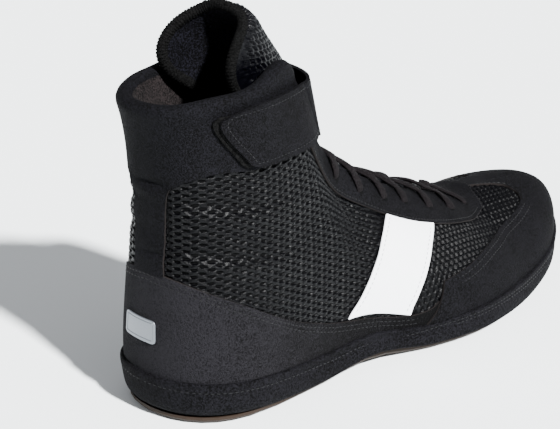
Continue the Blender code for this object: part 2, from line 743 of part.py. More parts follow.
def tube(name, points, radius, material, collection):
    curve = bpy.data.curves.new(name, "CURVE")
    curve.dimensions = "3D"
    curve.bevel_depth = radius
    curve.bevel_resolution = 1
    curve.use_fill_caps = True
    spline = curve.splines.new("POLY")
    spline.points.add(len(points) - 1)
    for point, place in zip(spline.points, points):
        point.co = (*place, 1)
    item = bpy.data.objects.new(name, curve)
    collection.objects.link(item)
    graph = bpy.context.evaluated_depsgraph_get()
    mesh = bpy.data.meshes.new_from_object(item.evaluated_get(graph))
    bpy.data.objects.remove(item, do_unlink=True)
    bpy.data.curves.remove(curve)
    bm = bmesh.new()
    bm.from_mesh(mesh)
    bmesh.ops.remove_doubles(bm, verts=bm.verts, dist=1e-5)
    bmesh.ops.recalc_face_normals(bm, faces=bm.faces)
    bm.to_mesh(mesh)
    bm.free()
    return add_mesh(name, mesh, material, collection)


def lace_path(start_number, end_number, side):
    # From an eyelet on one side, over both edges of the throat, to an eyelet on the other side
    lift = 3 * SEAT + OVERLAY + LACE_RADIUS
    turn = LACE_APART if end_number == start_number else -LACE_APART
    start_around, start_up = eyelet_place(start_number, side, LACE_APART)
    end_around, end_up = eyelet_place(end_number, -side, turn)
    spread = abs(end_around) - abs(start_around)
    over = lift + LACE_CLEARANCE
    places = [surface(start_around, start_up, lift),
              surface(start_around + 0.25 * spread * side, 1.0, over)]
    middle = abs(start_around) + 0.5 * spread
    places.append((surface(middle, 1.0, lift) + surface(-middle, 1.0, lift)) / 2
                  + throat_normal(middle) * LACE_BOW)
    places += [surface(end_around + 0.25 * spread * side, 1.0, over),
               surface(end_around, end_up, lift)]
    columns = np.array(places).T
    travel = np.linspace(0, len(places) - 1, 9)
    return np.column_stack([along(tuple(enumerate(column)), travel) for column in columns])


def make_laces(material, collection, cutters):
    items = []
    for number in range(len(EYELETS) - 1):
        name = "lace_cross_%d" % (number + 1)
        item = tube(name, lace_path(number, number + 1, 1), LACE_RADIUS, material, collection)
        other = tube(name + "_other", lace_path(number, number + 1, -1), LACE_RADIUS, material, cutters)
        other.hide_render = True
        other.display_type = "WIRE"
        join = item.modifiers.new("crossing", "BOOLEAN")
        join.operation = "UNION"
        join.solver = "EXACT"
        join.object = other
        items.append(item)
    last = len(EYELETS) - 1
    items.append(tube("lace_bar", lace_path(last, last, 1), LACE_RADIUS, material, collection))
    return items


# Placing

def stand_on_floor(items):
    # Bring the middle of the shoe over the origin, its lowest point on the floor
    graph = bpy.context.evaluated_depsgraph_get()
    corners = []
    for item in items:
        mesh = item.evaluated_get(graph).to_mesh()
        corners += [item.matrix_world @ vert.co for vert in mesh.vertices]
        item.evaluated_get(graph).to_mesh_clear()
    points = np.array(corners)
    low, high = points.min(0), points.max(0)
    shift = Vector((-(low[0] + high[0]) / 2, -(low[1] + high[1]) / 2, -low[2]))
    return shift


def main():
    clear_scene()
    shoe = new_collection("wrestling_shoe")
    cutters = new_collection("cutters")
    rubber = finish("gum_rubber", (0.30, 0.19, 0.10), 0.6)
    suede = finish("black_suede", (0.020, 0.019, 0.021), 0.9)
    mesh_cloth = finish("black_mesh", (0.016, 0.016, 0.018), 0.8)
    cuff_cloth = finish("black_knit", (0.022, 0.021, 0.023), 0.85)
    fleece = finish("brown_lining", (0.040, 0.032, 0.034), 0.95)
    foam = finish("black_foam", (0.03, 0.03, 0.03), 0.9)
    white = finish("white_synthetic", (0.85, 0.85, 0.86), 0.5)
    silver = finish("silver_film", (0.55, 0.57, 0.58), 0.35, 0.6)
    cord = finish("black_lace", (0.015, 0.015, 0.016), 0.8)

    items = [
        make_outsole(rubber, shoe, cutters),
        make_insole(foam, shoe),
        make_rand(suede, shoe),
        make_upper(mesh_cloth, shoe),
        make_counter(suede, shoe),
        make_toe_cap(suede, shoe),
        make_cuff(cuff_cloth, shoe),
        make_eyestay(suede, shoe, cutters),
        overlay("band_lateral", [band_patch(1)], white, shoe),
        overlay("band_medial", [band_patch(-1)], white, shoe),
        make_badge(silver, shoe),
        make_tongue(fleece, shoe),
        make_strap_pad(foam, shoe),
        make_strap(cuff_cloth, shoe),
        *make_laces(cord, shoe, cutters),
    ]
    bpy.context.view_layer.update()
    shift = stand_on_floor(items)
    for item in (*items, *cutters.objects):
        item.location = shift
    bpy.context.view_layer.update()


main()
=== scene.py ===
import math

import bmesh
import bpy
import numpy as np
from mathutils import Matrix, Vector


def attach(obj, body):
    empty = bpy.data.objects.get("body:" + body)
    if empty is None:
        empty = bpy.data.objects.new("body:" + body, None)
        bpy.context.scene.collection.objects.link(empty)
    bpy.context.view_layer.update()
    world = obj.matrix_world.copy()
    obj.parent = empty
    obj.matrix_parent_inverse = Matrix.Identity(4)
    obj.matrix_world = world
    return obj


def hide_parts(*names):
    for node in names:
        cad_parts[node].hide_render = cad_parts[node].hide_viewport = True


# A high-top wrestling shoe, dressed in mesh, suede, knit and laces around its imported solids

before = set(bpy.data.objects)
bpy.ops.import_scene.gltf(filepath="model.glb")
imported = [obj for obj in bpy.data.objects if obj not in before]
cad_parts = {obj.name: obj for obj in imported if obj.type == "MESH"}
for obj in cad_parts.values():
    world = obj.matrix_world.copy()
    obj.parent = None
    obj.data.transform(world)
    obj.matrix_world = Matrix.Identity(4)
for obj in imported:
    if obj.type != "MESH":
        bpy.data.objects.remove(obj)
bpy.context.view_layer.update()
print("frame loaded")

# The last: the same ribs as the solids, heel to toe, in shares of the driving sizes. shift is the way
# from the row frame, which starts at the heel, to the part's frame
last = {
    "length": 0.290,
    "ballWidth": 0.098,
    "collarHeight": 0.148,
    "toeSpring": 0.014,
    "archRise": 0.0025,
    "soleStack": 0.0082,
    "arch": (0.27, 0.50),
    "springStart": 0.707,
    "ridgeShift": 0.092,
    "ridgeSpan": (0.414, 0.828),
    "shift": (-0.14353, 0.001729, 0.0),
    # x, lateral, medial, out, rise, topX, topLateral, topMedial, topZ, topOut, topFall
    "ribs": (
        (0.014, 0.000, 0.000, 0.082, 0.189, -0.017, 0.000, 0.000, 0.963, -0.173, 0.297),
        (0.038, 0.224, 0.214, 0.071, 0.189, 0.003, 0.179, 0.163, 0.970, -0.133, 0.311),
        (0.114, 0.347, 0.316, 0.051, 0.189, 0.059, 0.270, 0.250, 0.986, -0.071, 0.311),
        (0.228, 0.357, 0.306, 0.051, 0.203, 0.141, 0.291, 0.286, 1.003, -0.020, 0.324),
        (0.324, 0.347, 0.286, 0.051, 0.216, 0.221, 0.235, 0.235, 1.027, 0.020, 0.311),
        (0.414, 0.378, 0.286, 0.051, 0.216, 0.290, 0.168, 0.163, 0.804, 0.082, 0.230),
        (0.503, 0.449, 0.316, 0.041, 0.176, 0.372, 0.133, 0.133, 0.635, 0.143, 0.149),
        (0.607, 0.495, 0.408, 0.041, 0.149, 0.493, 0.122, 0.122, 0.507, 0.204, 0.081),
        (0.710, 0.459, 0.459, 0.041, 0.128, 0.614, 0.092, 0.092, 0.412, 0.245, 0.041),
        (0.800, 0.388, 0.449, 0.046, 0.115, 0.710, 0.000, 0.000, 0.348, 0.276, 0.020),
        (0.883, 0.291, 0.408, 0.071, 0.108, 0.790, 0.000, 0.000, 0.318, 0.286, 0.010),
        (0.948, 0.153, 0.337, 0.092, 0.115, 0.859, 0.000, 0.000, 0.301, 0.255, 0.003),
        (0.983, 0.020, 0.214, 0.102, 0.122, 0.903, 0.000, 0.000, 0.291, 0.214, 0.000),
        (0.993, -0.092, 0.092, 0.102, 0.122, 0.917, 0.000, 0.000, 0.287, 0.194, 0.000),
    ),
}
toe = len(last["ribs"]) - 1
loop = 2 * toe
throatTurn, throatEnd = 8, 9

# Edges of the overlays: a place around the shoe, in ribs from the heel back, and a share up the rib
edges = {
    "rand": ((0, 0.140), (1, 0.136), (2, 0.120), (3, 0.100), (4, 0.078), (5, 0.066), (6, 0.083),
             (7, 0.106), (8, 0.124), (9, 0.121), (10, 0.118), (11, 0.122), (12, 0.123), (13, 0.123)),
    "counter": ((0, 0.505), (1, 0.482), (2, 0.400), (3, 0.262), (4, 0.172), (4.7, 0.140), (5.3, 0.132),
                (5.75, 0.147), (6.16, 0.192), (6.5, 0.300)),
    "cuffLow": ((0.6, 0.700), (0.64, 0.735), (0.72, 0.758), (0.90, 0.775), (1.2, 0.789), (1.6, 0.796),
                (2, 0.798), (3, 0.780), (4, 0.780), (5, 0.820)),
    "stripHalf": ((0.48, 0.47), (0.54, 0.47), (0.61, 0.53), (0.70, 0.60)),
    "stayLow": ((4, 0.820), (5, 0.775), (6, 0.775), (7, 0.690), (8, 0.660), (9, 0.690), (10, 0.870)),
    "capTop": ((6, 0.280), (7, 0.365), (8, 0.475), (9, 0.535), (10, 0.600), (11, 0.680),
               (12, 0.700), (13, 0.700)),
    "windowEnd": ((0.0, 10.30), (0.10, 10.50), (0.28, 10.66), (0.45, 10.78), (0.62, 10.76), (0.80, 10.58),
                  (0.92, 10.25), (1.0, 9.90)),
    "windowEndMedial": ((0.0, 10.30), (0.10, 10.50), (0.28, 10.66), (0.45, 10.74), (0.60, 10.55),
                        (0.72, 10.15), (0.84, 9.90), (1.0, 9.80)),
    "stayFront": ((0.0, 9.15), (0.14, 9.42), (0.35, 9.72), (0.60, 9.98), (0.85, 10.12), (1.0, 10.15)),
}


def smoothStep(value, low, high):
    share = np.clip((np.asarray(value, float) - low) / (high - low), 0, 1)
    return share * share * (3 - 2 * share)


def between(pair, share):
    return pair[0] + (pair[1] - pair[0]) * share


def cubic(share, width, low, high, slopeIn, slopeOut):
    # From low to high over a width, leaving and arriving with the given slopes
    rise = share * share * (3 - 2 * share)
    pullIn = share * (1 - share) ** 2 * width * slopeIn
    pullOut = share * share * (1 - share) * width * slopeOut
    return low + rise * (high - low) + pullIn - pullOut


def along(pairs, place):
    # A smooth line through pairs of place and value, level past both ends
    places, values = np.array(pairs, float).T
    slopes = np.gradient(values, places)
    place = np.clip(place, places[0], places[-1])
    start = np.clip(np.searchsorted(places, place, side="right") - 1, 0, len(places) - 2)
    width = places[start + 1] - places[start]
    return cubic((place - places[start]) / width, width, values[start], values[start + 1],
                 slopes[start], slopes[start + 1])


def unitRows(vectors):
    return vectors / np.maximum(np.linalg.norm(vectors, axis=-1, keepdims=True), 1e-12)


def runLength(points):
    # The distance along a line of points, from its first
    return np.concatenate([[0], np.cumsum(np.linalg.norm(np.diff(points, axis=0), axis=1))])


def resample(at, places, points):
    return np.column_stack([np.interp(at, places, points[:, axis]) for axis in range(3)])


def fold(around):
    turned = np.mod(around, loop)
    return np.minimum(turned, loop - turned)


def edge(name, around, margin=0.0):
    return along(edges[name], fold(around)) + margin


def ground(x):
    low, high = last["arch"]
    share = np.clip((x / last["length"] - low) / (high - low), 0, 1)
    spring = np.clip((x / last["length"] - last["springStart"]) / (1 - last["springStart"]), 0, None)
    return last["archRise"] * 0.5 * (1 - np.cos(2 * math.pi * share)) + last["toeSpring"] * spring ** 2


def lastRows():
    # Signed rows for the closed spline: heel back, lateral side, toe tip, medial side
    length, ballWidth, height = last["length"], last["ballWidth"], last["collarHeight"]
    order = [(0, 1), *((n, -1) for n in range(1, toe)), (toe, 1), *((n, 1) for n in range(toe - 1, 0, -1))]
    rows = []
    for number, side in order:
        (x, lateral, medial, out, rise,
         topX, topLateral, topMedial, topZ, topOut, topFall) = last["ribs"][number]
        width, topWidth = (lateral, topLateral) if side < 0 else (medial, topMedial)
        rows.append((x * length, side * width * ballWidth, out * ballWidth, rise * height, topX * length,
                     side * topWidth * ballWidth, topZ * height, topOut * ballWidth, topFall * height))
    return np.array(rows)


rows = lastRows()
unit = np.eye(loop)
bend = np.linalg.solve(4 * unit + np.roll(unit, 1, 0) + np.roll(unit, -1, 0),
                       6 * (np.roll(rows, -1, 0) - 2 * rows + np.roll(rows, 1, 0)))


def lastAt(around):
    around = np.mod(around, loop)
    start = np.floor(around).astype(int) % loop
    end = (start + 1) % loop
    after = (around - np.floor(around))[..., None]
    before = 1 - after
    curve = (before ** 3 - before) * bend[start] + (after ** 3 - after) * bend[end]
    return before * rows[start] + after * rows[end] + curve / 6


def outward(around):
    way = lastAt(around + 1e-3)[..., :2] - lastAt(around - 1e-3)[..., :2]
    return unitRows(np.stack([way[..., 1], -way[..., 0]], -1))


def ribPoint(around, up):
    footX, footY, out, rise, topX, half, topZ, topOut, topFall = np.moveaxis(lastAt(around), -1, 0)
    way = outward(around)
    side = np.where(np.mod(around, loop) < toe, 1, -1)
    turn = side * lastAt(np.float64(throatTurn))[5]
    past = smoothStep(fold(around), throatTurn, throatEnd)
    half = np.where(fold(around) < throatTurn, half, turn * (1 - past))
    ridge = last["ridgeShift"] * last["ballWidth"] * smoothStep(topX / last["length"], *last["ridgeSpan"])
    foot = np.stack([footX, footY, ground(footX) + last["soleStack"] + 0.0003], -1)
    top = np.stack([topX, half + ridge, topZ], -1)
    lowPull = foot + np.stack([way[..., 0] * out, way[..., 1] * out, rise], -1)
    topPull = top + np.stack([way[..., 0] * topOut, way[..., 1] * topOut, -topFall], -1)
    t = np.asarray(up, float)[..., None]
    s = 1 - t
    return s ** 3 * foot + 3 * s * s * t * lowPull + 3 * s * t * t * topPull + t ** 3 * top


def ribNormal(around, up):
    up = np.where(fold(around) >= throatEnd - 1e-6, np.minimum(up, 0.985), up)
    alongLoop = ribPoint(around + 1e-3, up) - ribPoint(around - 1e-3, up)
    upRib = ribPoint(around, np.clip(up + 1e-3, 0, 1)) - ribPoint(around, np.clip(up - 1e-3, 0, 1))
    return unitRows(np.cross(alongLoop, upRib))


def surface(around, up, lift=0.0):
    # A point of the upper, lifted off its outer face. Both sides meet on the ridge in front of the throat
    around, up, lift = np.broadcast_arrays(*(np.asarray(value, float) for value in (around, up, lift)))
    here = ribPoint(around, up) + ribNormal(around, up) * lift[..., None]
    there = ribPoint(-around, up) + ribNormal(-around, up) * lift[..., None]
    joined = (up > 1 - 1e-6) & (fold(around) >= throatEnd - 1e-6)
    return np.where(joined[..., None], (here + there) / 2, here) + np.array(last["shift"])


def planRing(around, offset, height):
    # A line round the foot: an outward offset from the feather and a height above the ground
    place = lastAt(around)[..., :2] + outward(around) * np.asarray(offset, float)[..., None]
    x, y = place[..., 0], place[..., 1]
    return np.stack([x, y, ground(x) + height], -1) + np.array(last["shift"])


# Cloth lengths along and up the upper, so that a weave keeps its scale over the surface
tableAround = np.linspace(0, toe, 14 * toe + 1)
tableUp = np.linspace(0, 1, 41)


def lengthTable(side):
    points = ribPoint(side * tableAround[:, None] + 0 * tableUp, tableUp + 0 * tableAround[:, None])
    acrossStep = np.linalg.norm(np.diff(points, axis=0), axis=-1)
    upStep = np.linalg.norm(np.diff(points, axis=1), axis=-1)
    across = np.vstack([np.zeros((1, len(tableUp))), np.cumsum(acrossStep, 0)])
    upward = np.hstack([np.zeros((len(tableAround), 1)), np.cumsum(upStep, 1)])
    return np.stack([across, upward, upward[:, -1:] - upward], -1)


lengthTables = {1: lengthTable(1), -1: lengthTable(-1)}


def clothPlace(around, up):
    # Metres along the shoe, up from the feather and down from the top, at places of the chart
    around, up = np.broadcast_arrays(np.asarray(around, float), np.asarray(up, float))
    column = fold(around) / toe * (len(tableAround) - 1)
    row = np.clip(up, 0, 1) * (len(tableUp) - 1)
    i = np.clip(column.astype(int), 0, len(tableAround) - 2)
    j = np.clip(row.astype(int), 0, len(tableUp) - 2)
    a, b = (column - i)[..., None], (row - j)[..., None]
    found = np.zeros((*around.shape, 3))
    for side in (1, -1):
        table = lengthTables[side]
        value = ((1 - a) * (1 - b) * table[i, j] + a * (1 - b) * table[i + 1, j]
                 + (1 - a) * b * table[i, j + 1] + a * b * table[i + 1, j + 1])
        here = (np.mod(around, loop) <= toe) if side > 0 else (np.mod(around, loop) > toe)
        found = np.where(here[..., None], value, found)
    return found


# Creases: each is a soft fold round a centre on the chart
creases = (
    # around, up, long, short, slant, depth
    (1.9, 0.700, 1.10, 0.020, -0.030, -0.0012),
    (2.1, 0.660, 1.20, 0.030, -0.030, 0.0009),
    (1.6, 0.560, 1.10, 0.018, -0.035, -0.0011),
    (1.9, 0.520, 1.20, 0.028, -0.035, 0.0008),
    (0.2, 0.775, 0.50, 0.012, 0.000, -0.0014),
    (0.2, 0.745, 0.55, 0.018, 0.000, 0.0009),
    (0.2, 0.560, 0.45, 0.010, 0.010, -0.0010),
    (-1.2, 0.700, 0.90, 0.022, 0.030, -0.0012),
    (-1.0, 0.620, 0.90, 0.020, 0.020, -0.0010),
    (4.6, 0.560, 1.20, 0.035, 0.020, -0.0007),
    (-4.6, 0.560, 1.20, 0.035, 0.020, -0.0007),
    (8.3, 0.560, 0.22, 0.200, 0.000, -0.0006),
    (-8.3, 0.560, 0.22, 0.200, 0.000, -0.0006),
)


def creaseLift(around, up):
    turned = np.mod(np.asarray(around, float) + toe, loop) - toe
    lift = 0 * (turned + up)
    for centre, height, reach, width, slant, depth in creases:
        over = turned - centre
        lift = lift + depth * np.exp(-(over / reach) ** 2 - ((up - height - slant * over) / width) ** 2)
    return lift * (1 - smoothStep(up, 0.90, 0.98)) * smoothStep(up, 0.05, 0.16)


# Meshes

def mappedGrid(bm, columns, rows, place, uvPlace=None, material=0):
    # A grid whose points are placed by a function of their shares along and across
    made = bmesh.ops.create_grid(bm, x_segments=columns, y_segments=rows, size=0.5)
    verts = made["verts"]
    shares = np.array([(vert.co.x + 0.5, vert.co.y + 0.5) for vert in verts])
    points = place(shares[:, 0], shares[:, 1])
    uvs = shares if uvPlace is None else uvPlace(shares[:, 0], shares[:, 1])
    layer = bm.loops.layers.uv.verify()
    spot = {}
    for vert, point, uv in zip(verts, points, uvs):
        vert.co = point
        spot[vert] = uv
    for vert in verts:
        for link in vert.link_loops:
            link[layer].uv = spot[vert]
            link.face.material_index = material
            link.face.smooth = True
    return verts


def addObject(name, data):
    item = bpy.data.objects.new(name, data)
    bpy.context.scene.collection.objects.link(item)
    return item


def finishPiece(bm, name, materials, weld=1e-5, replaced=()):
    if weld:
        bmesh.ops.remove_doubles(bm, verts=bm.verts, dist=weld)
    mesh = bpy.data.meshes.new(name)
    bm.to_mesh(mesh)
    bm.free()
    for material in materials:
        mesh.materials.append(material)
    piece = addObject(name, mesh)
    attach(piece, "root")
    if replaced:
        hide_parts(*replaced)
    return piece


def thicken(piece, thickness, bevel, rim=None):
    # Cloth thickness on the outer side, with soft edges and the rim's own material
    wall = piece.modifiers.new("wall", "SOLIDIFY")
    wall.thickness = thickness
    wall.offset = 1
    wall.use_quality_normals = True
    if rim is not None:
        wall.material_offset_rim = rim
    soft = piece.modifiers.new("soft edge", "BEVEL")
    soft.width = bevel
    soft.segments = 2
    soft.limit_method = "ANGLE"
    soft.angle_limit = math.radians(50)
    return piece


def ribbon(bm, points, normals, width, thickness, sides=14, squareness=0.8):
    # A flat oval section swept along a path
    ways = unitRows(np.gradient(points, axis=0))
    normals = unitRows(normals - ways * np.sum(normals * ways, axis=1, keepdims=True))
    across = np.cross(ways, normals)
    length = runLength(points)[-1]
    count = len(points) - 1

    def place(s, t):
        index = np.rint(s * count).astype(int)
        turn = -2 * math.pi * t
        flat, rise = (np.sign(wave) * np.abs(wave) ** squareness * size / 2
                      for wave, size in ((np.cos(turn), width), (np.sin(turn), thickness)))
        return points[index] + across[index] * flat[:, None] + normals[index] * rise[:, None]

    return mappedGrid(bm, count, sides, place, flatCloth((length, 2 * (width + thickness))))


def flatCloth(size):
    return lambda s, t: np.stack([s, t], 1) * size


def onChart(chart, lift):
    # Place and cloth coordinates for mappedGrid, from places of the chart and a lift off the upper
    def place(s, t):
        around, up = chart(s, t)
        height = lift(around, up) if callable(lift) else lift
        return surface(around, up, height + creaseLift(around, up))

    return place, lambda s, t: clothPlace(*chart(s, t))[:, :2]


def patch(columns, rows, aroundAt, lowAt, highAt, lift):
    # A patch of the upper between two edges
    def chart(s, t):
        around = aroundAt(s, t)
        return around, between((lowAt(around), highAt(around)), t)

    return columns, rows, *onChart(chart, lift)


# Materials

class Value:
    # A shader socket on which Python arithmetic adds Math nodes

    def __init__(self, look, socket):
        self.look = look
        self.socket = socket

    def maths(self, operation, *others):
        sockets = {index: other for index, other in enumerate((self, *others))}
        return self.look.add("ShaderNodeMath", {"operation": operation}, sockets)

    def __add__(self, other):
        return self.maths("ADD", other)

    def __mul__(self, other):
        return self.maths("MULTIPLY", other)

    def __sub__(self, other):
        return self.maths("SUBTRACT", other)

    def __rsub__(self, other):
        return self.look.add("ShaderNodeMath", {"operation": "SUBTRACT"}, {0: other, 1: self})

    __radd__ = __add__
    __rmul__ = __mul__


class Look:
    # A material under construction

    def __init__(self, name, colour, roughness, metallic=0.0, **constants):
        self.material = bpy.data.materials.new(name)
        self.material.use_nodes = True
        self.tree = self.material.node_tree
        self.shader = self.tree.nodes["Principled BSDF"]
        self.set("Base Color", (*colour, 1.0))
        self.set("Roughness", roughness)
        self.set("Metallic", metallic)
        for key, value in constants.items():
            self.set(key.replace("_", " "), value)
        self.material.diffuse_color = (*colour, 1.0)

    def set(self, name, value):
        self.link(self.shader.inputs[name], value)

    def link(self, socket, value):
        if isinstance(value, Value):
            self.tree.links.new(value.socket, socket)
        else:
            socket.default_value = value

    def add(self, kind, settings=None, sockets=None, output=0):
        node = self.tree.nodes.new(kind)
        for key, value in (settings or {}).items():
            setattr(node, key, value)
        for key, value in (sockets or {}).items():
            self.link(node.inputs[key], value)
        return Value(self, node.outputs[output])

    def uv(self):
        return self.add("ShaderNodeUVMap", {"uv_map": "UVMap"})

    def objectPlace(self):
        return self.add("ShaderNodeTexCoord", output="Object")

    def noise(self, place, scale, detail=2.0, roughness=0.5):
        return self.add("ShaderNodeTexNoise", None,
                        {"Vector": place, "Scale": scale, "Detail": detail, "Roughness": roughness})

    def split(self, vector):
        # The X and Y parts of a vector
        first = self.add("ShaderNodeSeparateXYZ", None, {0: vector})
        return first, Value(self, first.socket.node.outputs[1])

    def mix(self, factor, first, second):
        sockets = {0: factor, 6: first, 7: second}
        return self.add("ShaderNodeMix", {"data_type": "RGBA"}, sockets, output=2)

    def bump(self, height, strength, distance):
        self.set("Normal", self.add("ShaderNodeBump", None,
                                    {"Height": height, "Strength": strength, "Distance": distance}))
        return self


def grey(value, red=0.0, blue=0.0):
    return (value * (1 + red), value, value * (1 + blue), 1.0)


def suedeLook(name, dark, light, sheen=0.0, grain=1150, contrast=5.0, bias=0.5, paintedShadeSlope=0.0):
    # Nap in two tones, darkened toward the toe per metre by the last argument: painted shade, the heel's
    # highlight falling off toward the front
    look = Look(name, dark[:3], 0.9, Sheen_Weight=sheen, Sheen_Roughness=0.45, Specular_IOR_Level=0.05)
    place = look.objectPlace()
    nap = look.noise(place, grain, 3.0, 0.65)
    cloud = look.noise(place, 45, 3.0, 0.6)
    length, _ = look.split(place)
    tone = (nap - 0.5) * contrast + (cloud - 0.5) * 0.9 + bias - (length + 0.1) * paintedShadeSlope
    look.set("Base Color", look.mix(tone, dark, light))
    return look.bump(nap + look.noise(place, 0.45 * grain, 2.0) * 0.8, 0.9, 0.0009).material


def knitLook(name, dark, light, pitch):
    # A fine plain knit: small ribs along and across the cloth
    look = Look(name, dark[:3], 0.85, Specular_IOR_Level=0.05)
    waveU, waveV = ((part * (2 * math.pi / pitch)).maths("SINE") for part in look.split(look.uv()))
    weave = waveU * waveV * 0.5 + 0.5
    place = look.objectPlace()
    fuzz = look.noise(place, 1400, 3.0, 0.65)
    cloud = look.noise(place, 40, 3.0)
    tone = (weave - 0.5) * 0.35 + (fuzz - 0.5) * 5.0 + (cloud - 0.5) * 0.7 + 0.5
    look.set("Base Color", look.mix(tone, dark, light))
    return look.bump(weave * 0.5 + fuzz, 0.8, 0.0006).material


def yarnLook(name, colour, roughness, specular, pitch):
    # Twisted yarn: fine slanting ribs on the cloth coordinates
    look = Look(name, colour, roughness, Specular_IOR_Level=specular)
    run, across = look.split(look.uv())
    twist = ((run + across * 0.6) * (2 * math.pi / pitch)).maths("SINE")
    return look.bump(twist * 0.5 + look.noise(look.objectPlace(), 1800, 2.0), 0.55, 0.0004).material


def plainLook(name, colour, roughness, metallic=0.0, grain=None, **constants):
    # grain: scale and detail of a fine noise, and its bump's strength and distance
    look = Look(name, colour, roughness, metallic, **constants)
    if grain:
        look.bump(look.noise(look.objectPlace(), *grain[:2]), *grain[2:])
    return look.material


suede = suedeLook("suede", grey(0.0, 0.04, 0.3), grey(0.0036, 0.04, 0.3))
# The heel's suede: a lighter copy of the suede, painted light for the highlight on the heel, darker toward
# the toe as painted shade
litHeelSuede = suedeLook("heel suede", grey(0.0006, 0.05, 0.2), grey(0.0084, 0.05, 0.2),
                      sheen=0.004, grain=1500, paintedShadeSlope=9.0)
randSuede = suedeLook("rand suede", grey(0.0, 0.04, 0.3), grey(0.0048, 0.04, 0.3))
lining = suedeLook("brushed lining", (0.0004, 0.0003, 0.0003, 1), (0.0130, 0.0098, 0.0100, 1),
                   sheen=0.01, grain=1300)
tongueLining = suedeLook("tongue lining", grey(0.0, 0.0, 0.3), grey(0.0046, 0.0, 0.6),
                         grain=1200, contrast=6.0, bias=0.25)
pile = suedeLook("loop pile", grey(0.0003), grey(0.0030), grain=700)
overlock = suedeLook("overlock thread", grey(0.0), grey(0.0032), grain=1500)
footbed = suedeLook("footbed cloth", grey(0.0010), grey(0.0060), grain=1400)
knit = knitLook("cuff knit", grey(0.0, 0.02, 0.35), grey(0.0036, 0.02, 0.35), 0.0009)
strapKnit = knitLook("strap knit", grey(0.0, 0.04, 0.3), grey(0.0036, 0.04, 0.3), 0.0008)
laceCloth = knitLook("lace braid", (0.0010, 0.0008, 0.0010, 1), (0.0058, 0.0046, 0.0052, 1), 0.0011)
netThread = yarnLook("mesh thread", (0.0001, 0.0001, 0.0004), 0.38, 0.085, 0.0009)
tongueNet = yarnLook("tongue mesh", (0.0003, 0.0003, 0.0008), 0.34, 0.09, 0.0009)
backing = plainLook("mesh backing", (0.0004, 0.0004, 0.0005), 0.8, Specular_IOR_Level=0.05)
thread = plainLook("sewing thread", (0.0028, 0.0028, 0.0033), 0.5, Specular_IOR_Level=0.15)
rawEdge = plainLook("raw edge", (0.0060, 0.0048, 0.0046), 0.85, Specular_IOR_Level=0.10)
# The band's white thread, coloured grey: painted shade of its stitch grooves
shadedWhiteThread = plainLook("white thread", (0.30, 0.31, 0.34), 0.6)
white = plainLook("white synthetic", (0.86, 0.87, 0.90), 0.42, grain=(900, 2.0, 0.12, 0.0002))
silver = plainLook("silver film", (0.14, 0.15, 0.165), 0.42, 0.85, (1400, 2.0, 0.25, 0.0002))
gum = plainLook("gum rubber", (0.013, 0.0075, 0.0045), 0.7, 0.0, (500, 3.0, 0.2, 0.0004),
                Specular_IOR_Level=0.15)
print("materials made")


# Upper: the backing cloth outside, the padded collar and the lining inside
upper = {
    "columns": 208,
    "outerRows": 40, "collarRows": 10, "rimRows": 8, "innerRows": 26,
    "collarFrom": 0.93,
    "wall": 0.0020,
    "collarPad": 0.0058, "padUp": (0.72, 0.92), "padEnds": (3.8, 4.9),
    "roll": 0.00165, "rollUp": (0.935, 0.975), "rollEnds": (3.9, 4.4),
    "rimCloth": 0.009,
}


def wallAt(around, up):
    pad = smoothStep(up, *upper["padUp"]) * (1 - smoothStep(fold(around), *upper["padEnds"]))
    return between((upper["wall"], upper["collarPad"]), pad)


def collarRoll(around, up):
    # The knit swells out to the cuff's face and over the padded collar
    ends = 1 - smoothStep(fold(around), *upper["rollEnds"])
    return upper["roll"] * smoothStep(up, *upper["rollUp"]) * ends


def makeUpper():
    bm = bmesh.new()

    def band(rowCount, span, depth, material):
        # One face of the wall between two heights of the ribs
        face = onChart(lambda s, t: (s * loop, between(span, t)), depth)
        mappedGrid(bm, upper["columns"], rowCount, *face, material)

    def rim(s, t):
        # A half turn from the outer edge over to the inner one; closed up along the ridge
        around = s * loop
        roll = collarRoll(around, 1.0 + 0 * s)
        wall = wallAt(around, 1.0 + 0 * s) + roll
        way = unitRows(surface(around, 1.0) - surface(around, 0.97))
        opened = (fold(around) <= throatEnd - 1e-6).astype(float)[:, None]
        turn = math.pi * t
        depth = roll - wall * (0.5 - 0.5 * np.cos(turn))
        return surface(around, 1.0, depth) + way * opened * (0.5 * wall * np.sin(turn))[:, None]

    def rimCloth(s, t):
        return clothPlace(s * loop, 1.0 + 0 * t)[:, :2] + np.stack([0 * t, upper["rimCloth"] * t], 1)

    def foot(s, t):
        return surface(s * loop, 0.0, -wallAt(s * loop, 0.0 * s) * (1 - t))

    band(upper["outerRows"], (0, upper["collarFrom"]), 0.0, 0)
    band(upper["innerRows"], (1, 0), lambda around, up: -wallAt(around, up), 1)
    band(upper["collarRows"], (upper["collarFrom"], 1), collarRoll, 2)
    mappedGrid(bm, upper["columns"], upper["rimRows"], rim, rimCloth, 2)
    mappedGrid(bm, upper["columns"], 1, foot, None, 1)
    return finishPiece(bm, "upper_shell", [backing, lining, knit], 3e-5, ["upper"])


makeUpper()

# Net over the backing: staggered holes between raised threads, in one skin behind the joint and one before it
net = {
    "height": 0.0009, "sink": 0.0004,
    "under": 0.012, "underStay": 0.02,
    "cuffToStay": (4.1, 4.7), "stayToRidge": (8.9, 9.3), "behindCap": (6.2, 6.7), "lowBehindCap": 0.15,
    "sideGrid": (228, 336), "sideHole": (0.0074, 0.0016),
    "vampGrid": (270, 188), "vampHole": (0.0038, 0.0027), "vampSlope": 0.75,
    "rear": 0.42, "front": 11.0,
    "join": ((0, 4.8), (0.25, 5.4), (0.5, 6.0), (0.75, 6.5), (1, 6.9)), "lap": 0.15,
}


def netLift(run, across, pitch, row):
    # Long holes in staggered rows; the yarn between them rises and twists a little
    run = 2 * math.pi * run / pitch
    across = math.pi * across / row
    hole = smoothStep(np.cos(run) * np.cos(across), 0.10, 0.50)
    twist = 0.22 * np.cos(2 * run + 1.2 * np.sin(across))
    return net["height"] * (0.85 + twist) * (1 - hole) - net["sink"] * hole


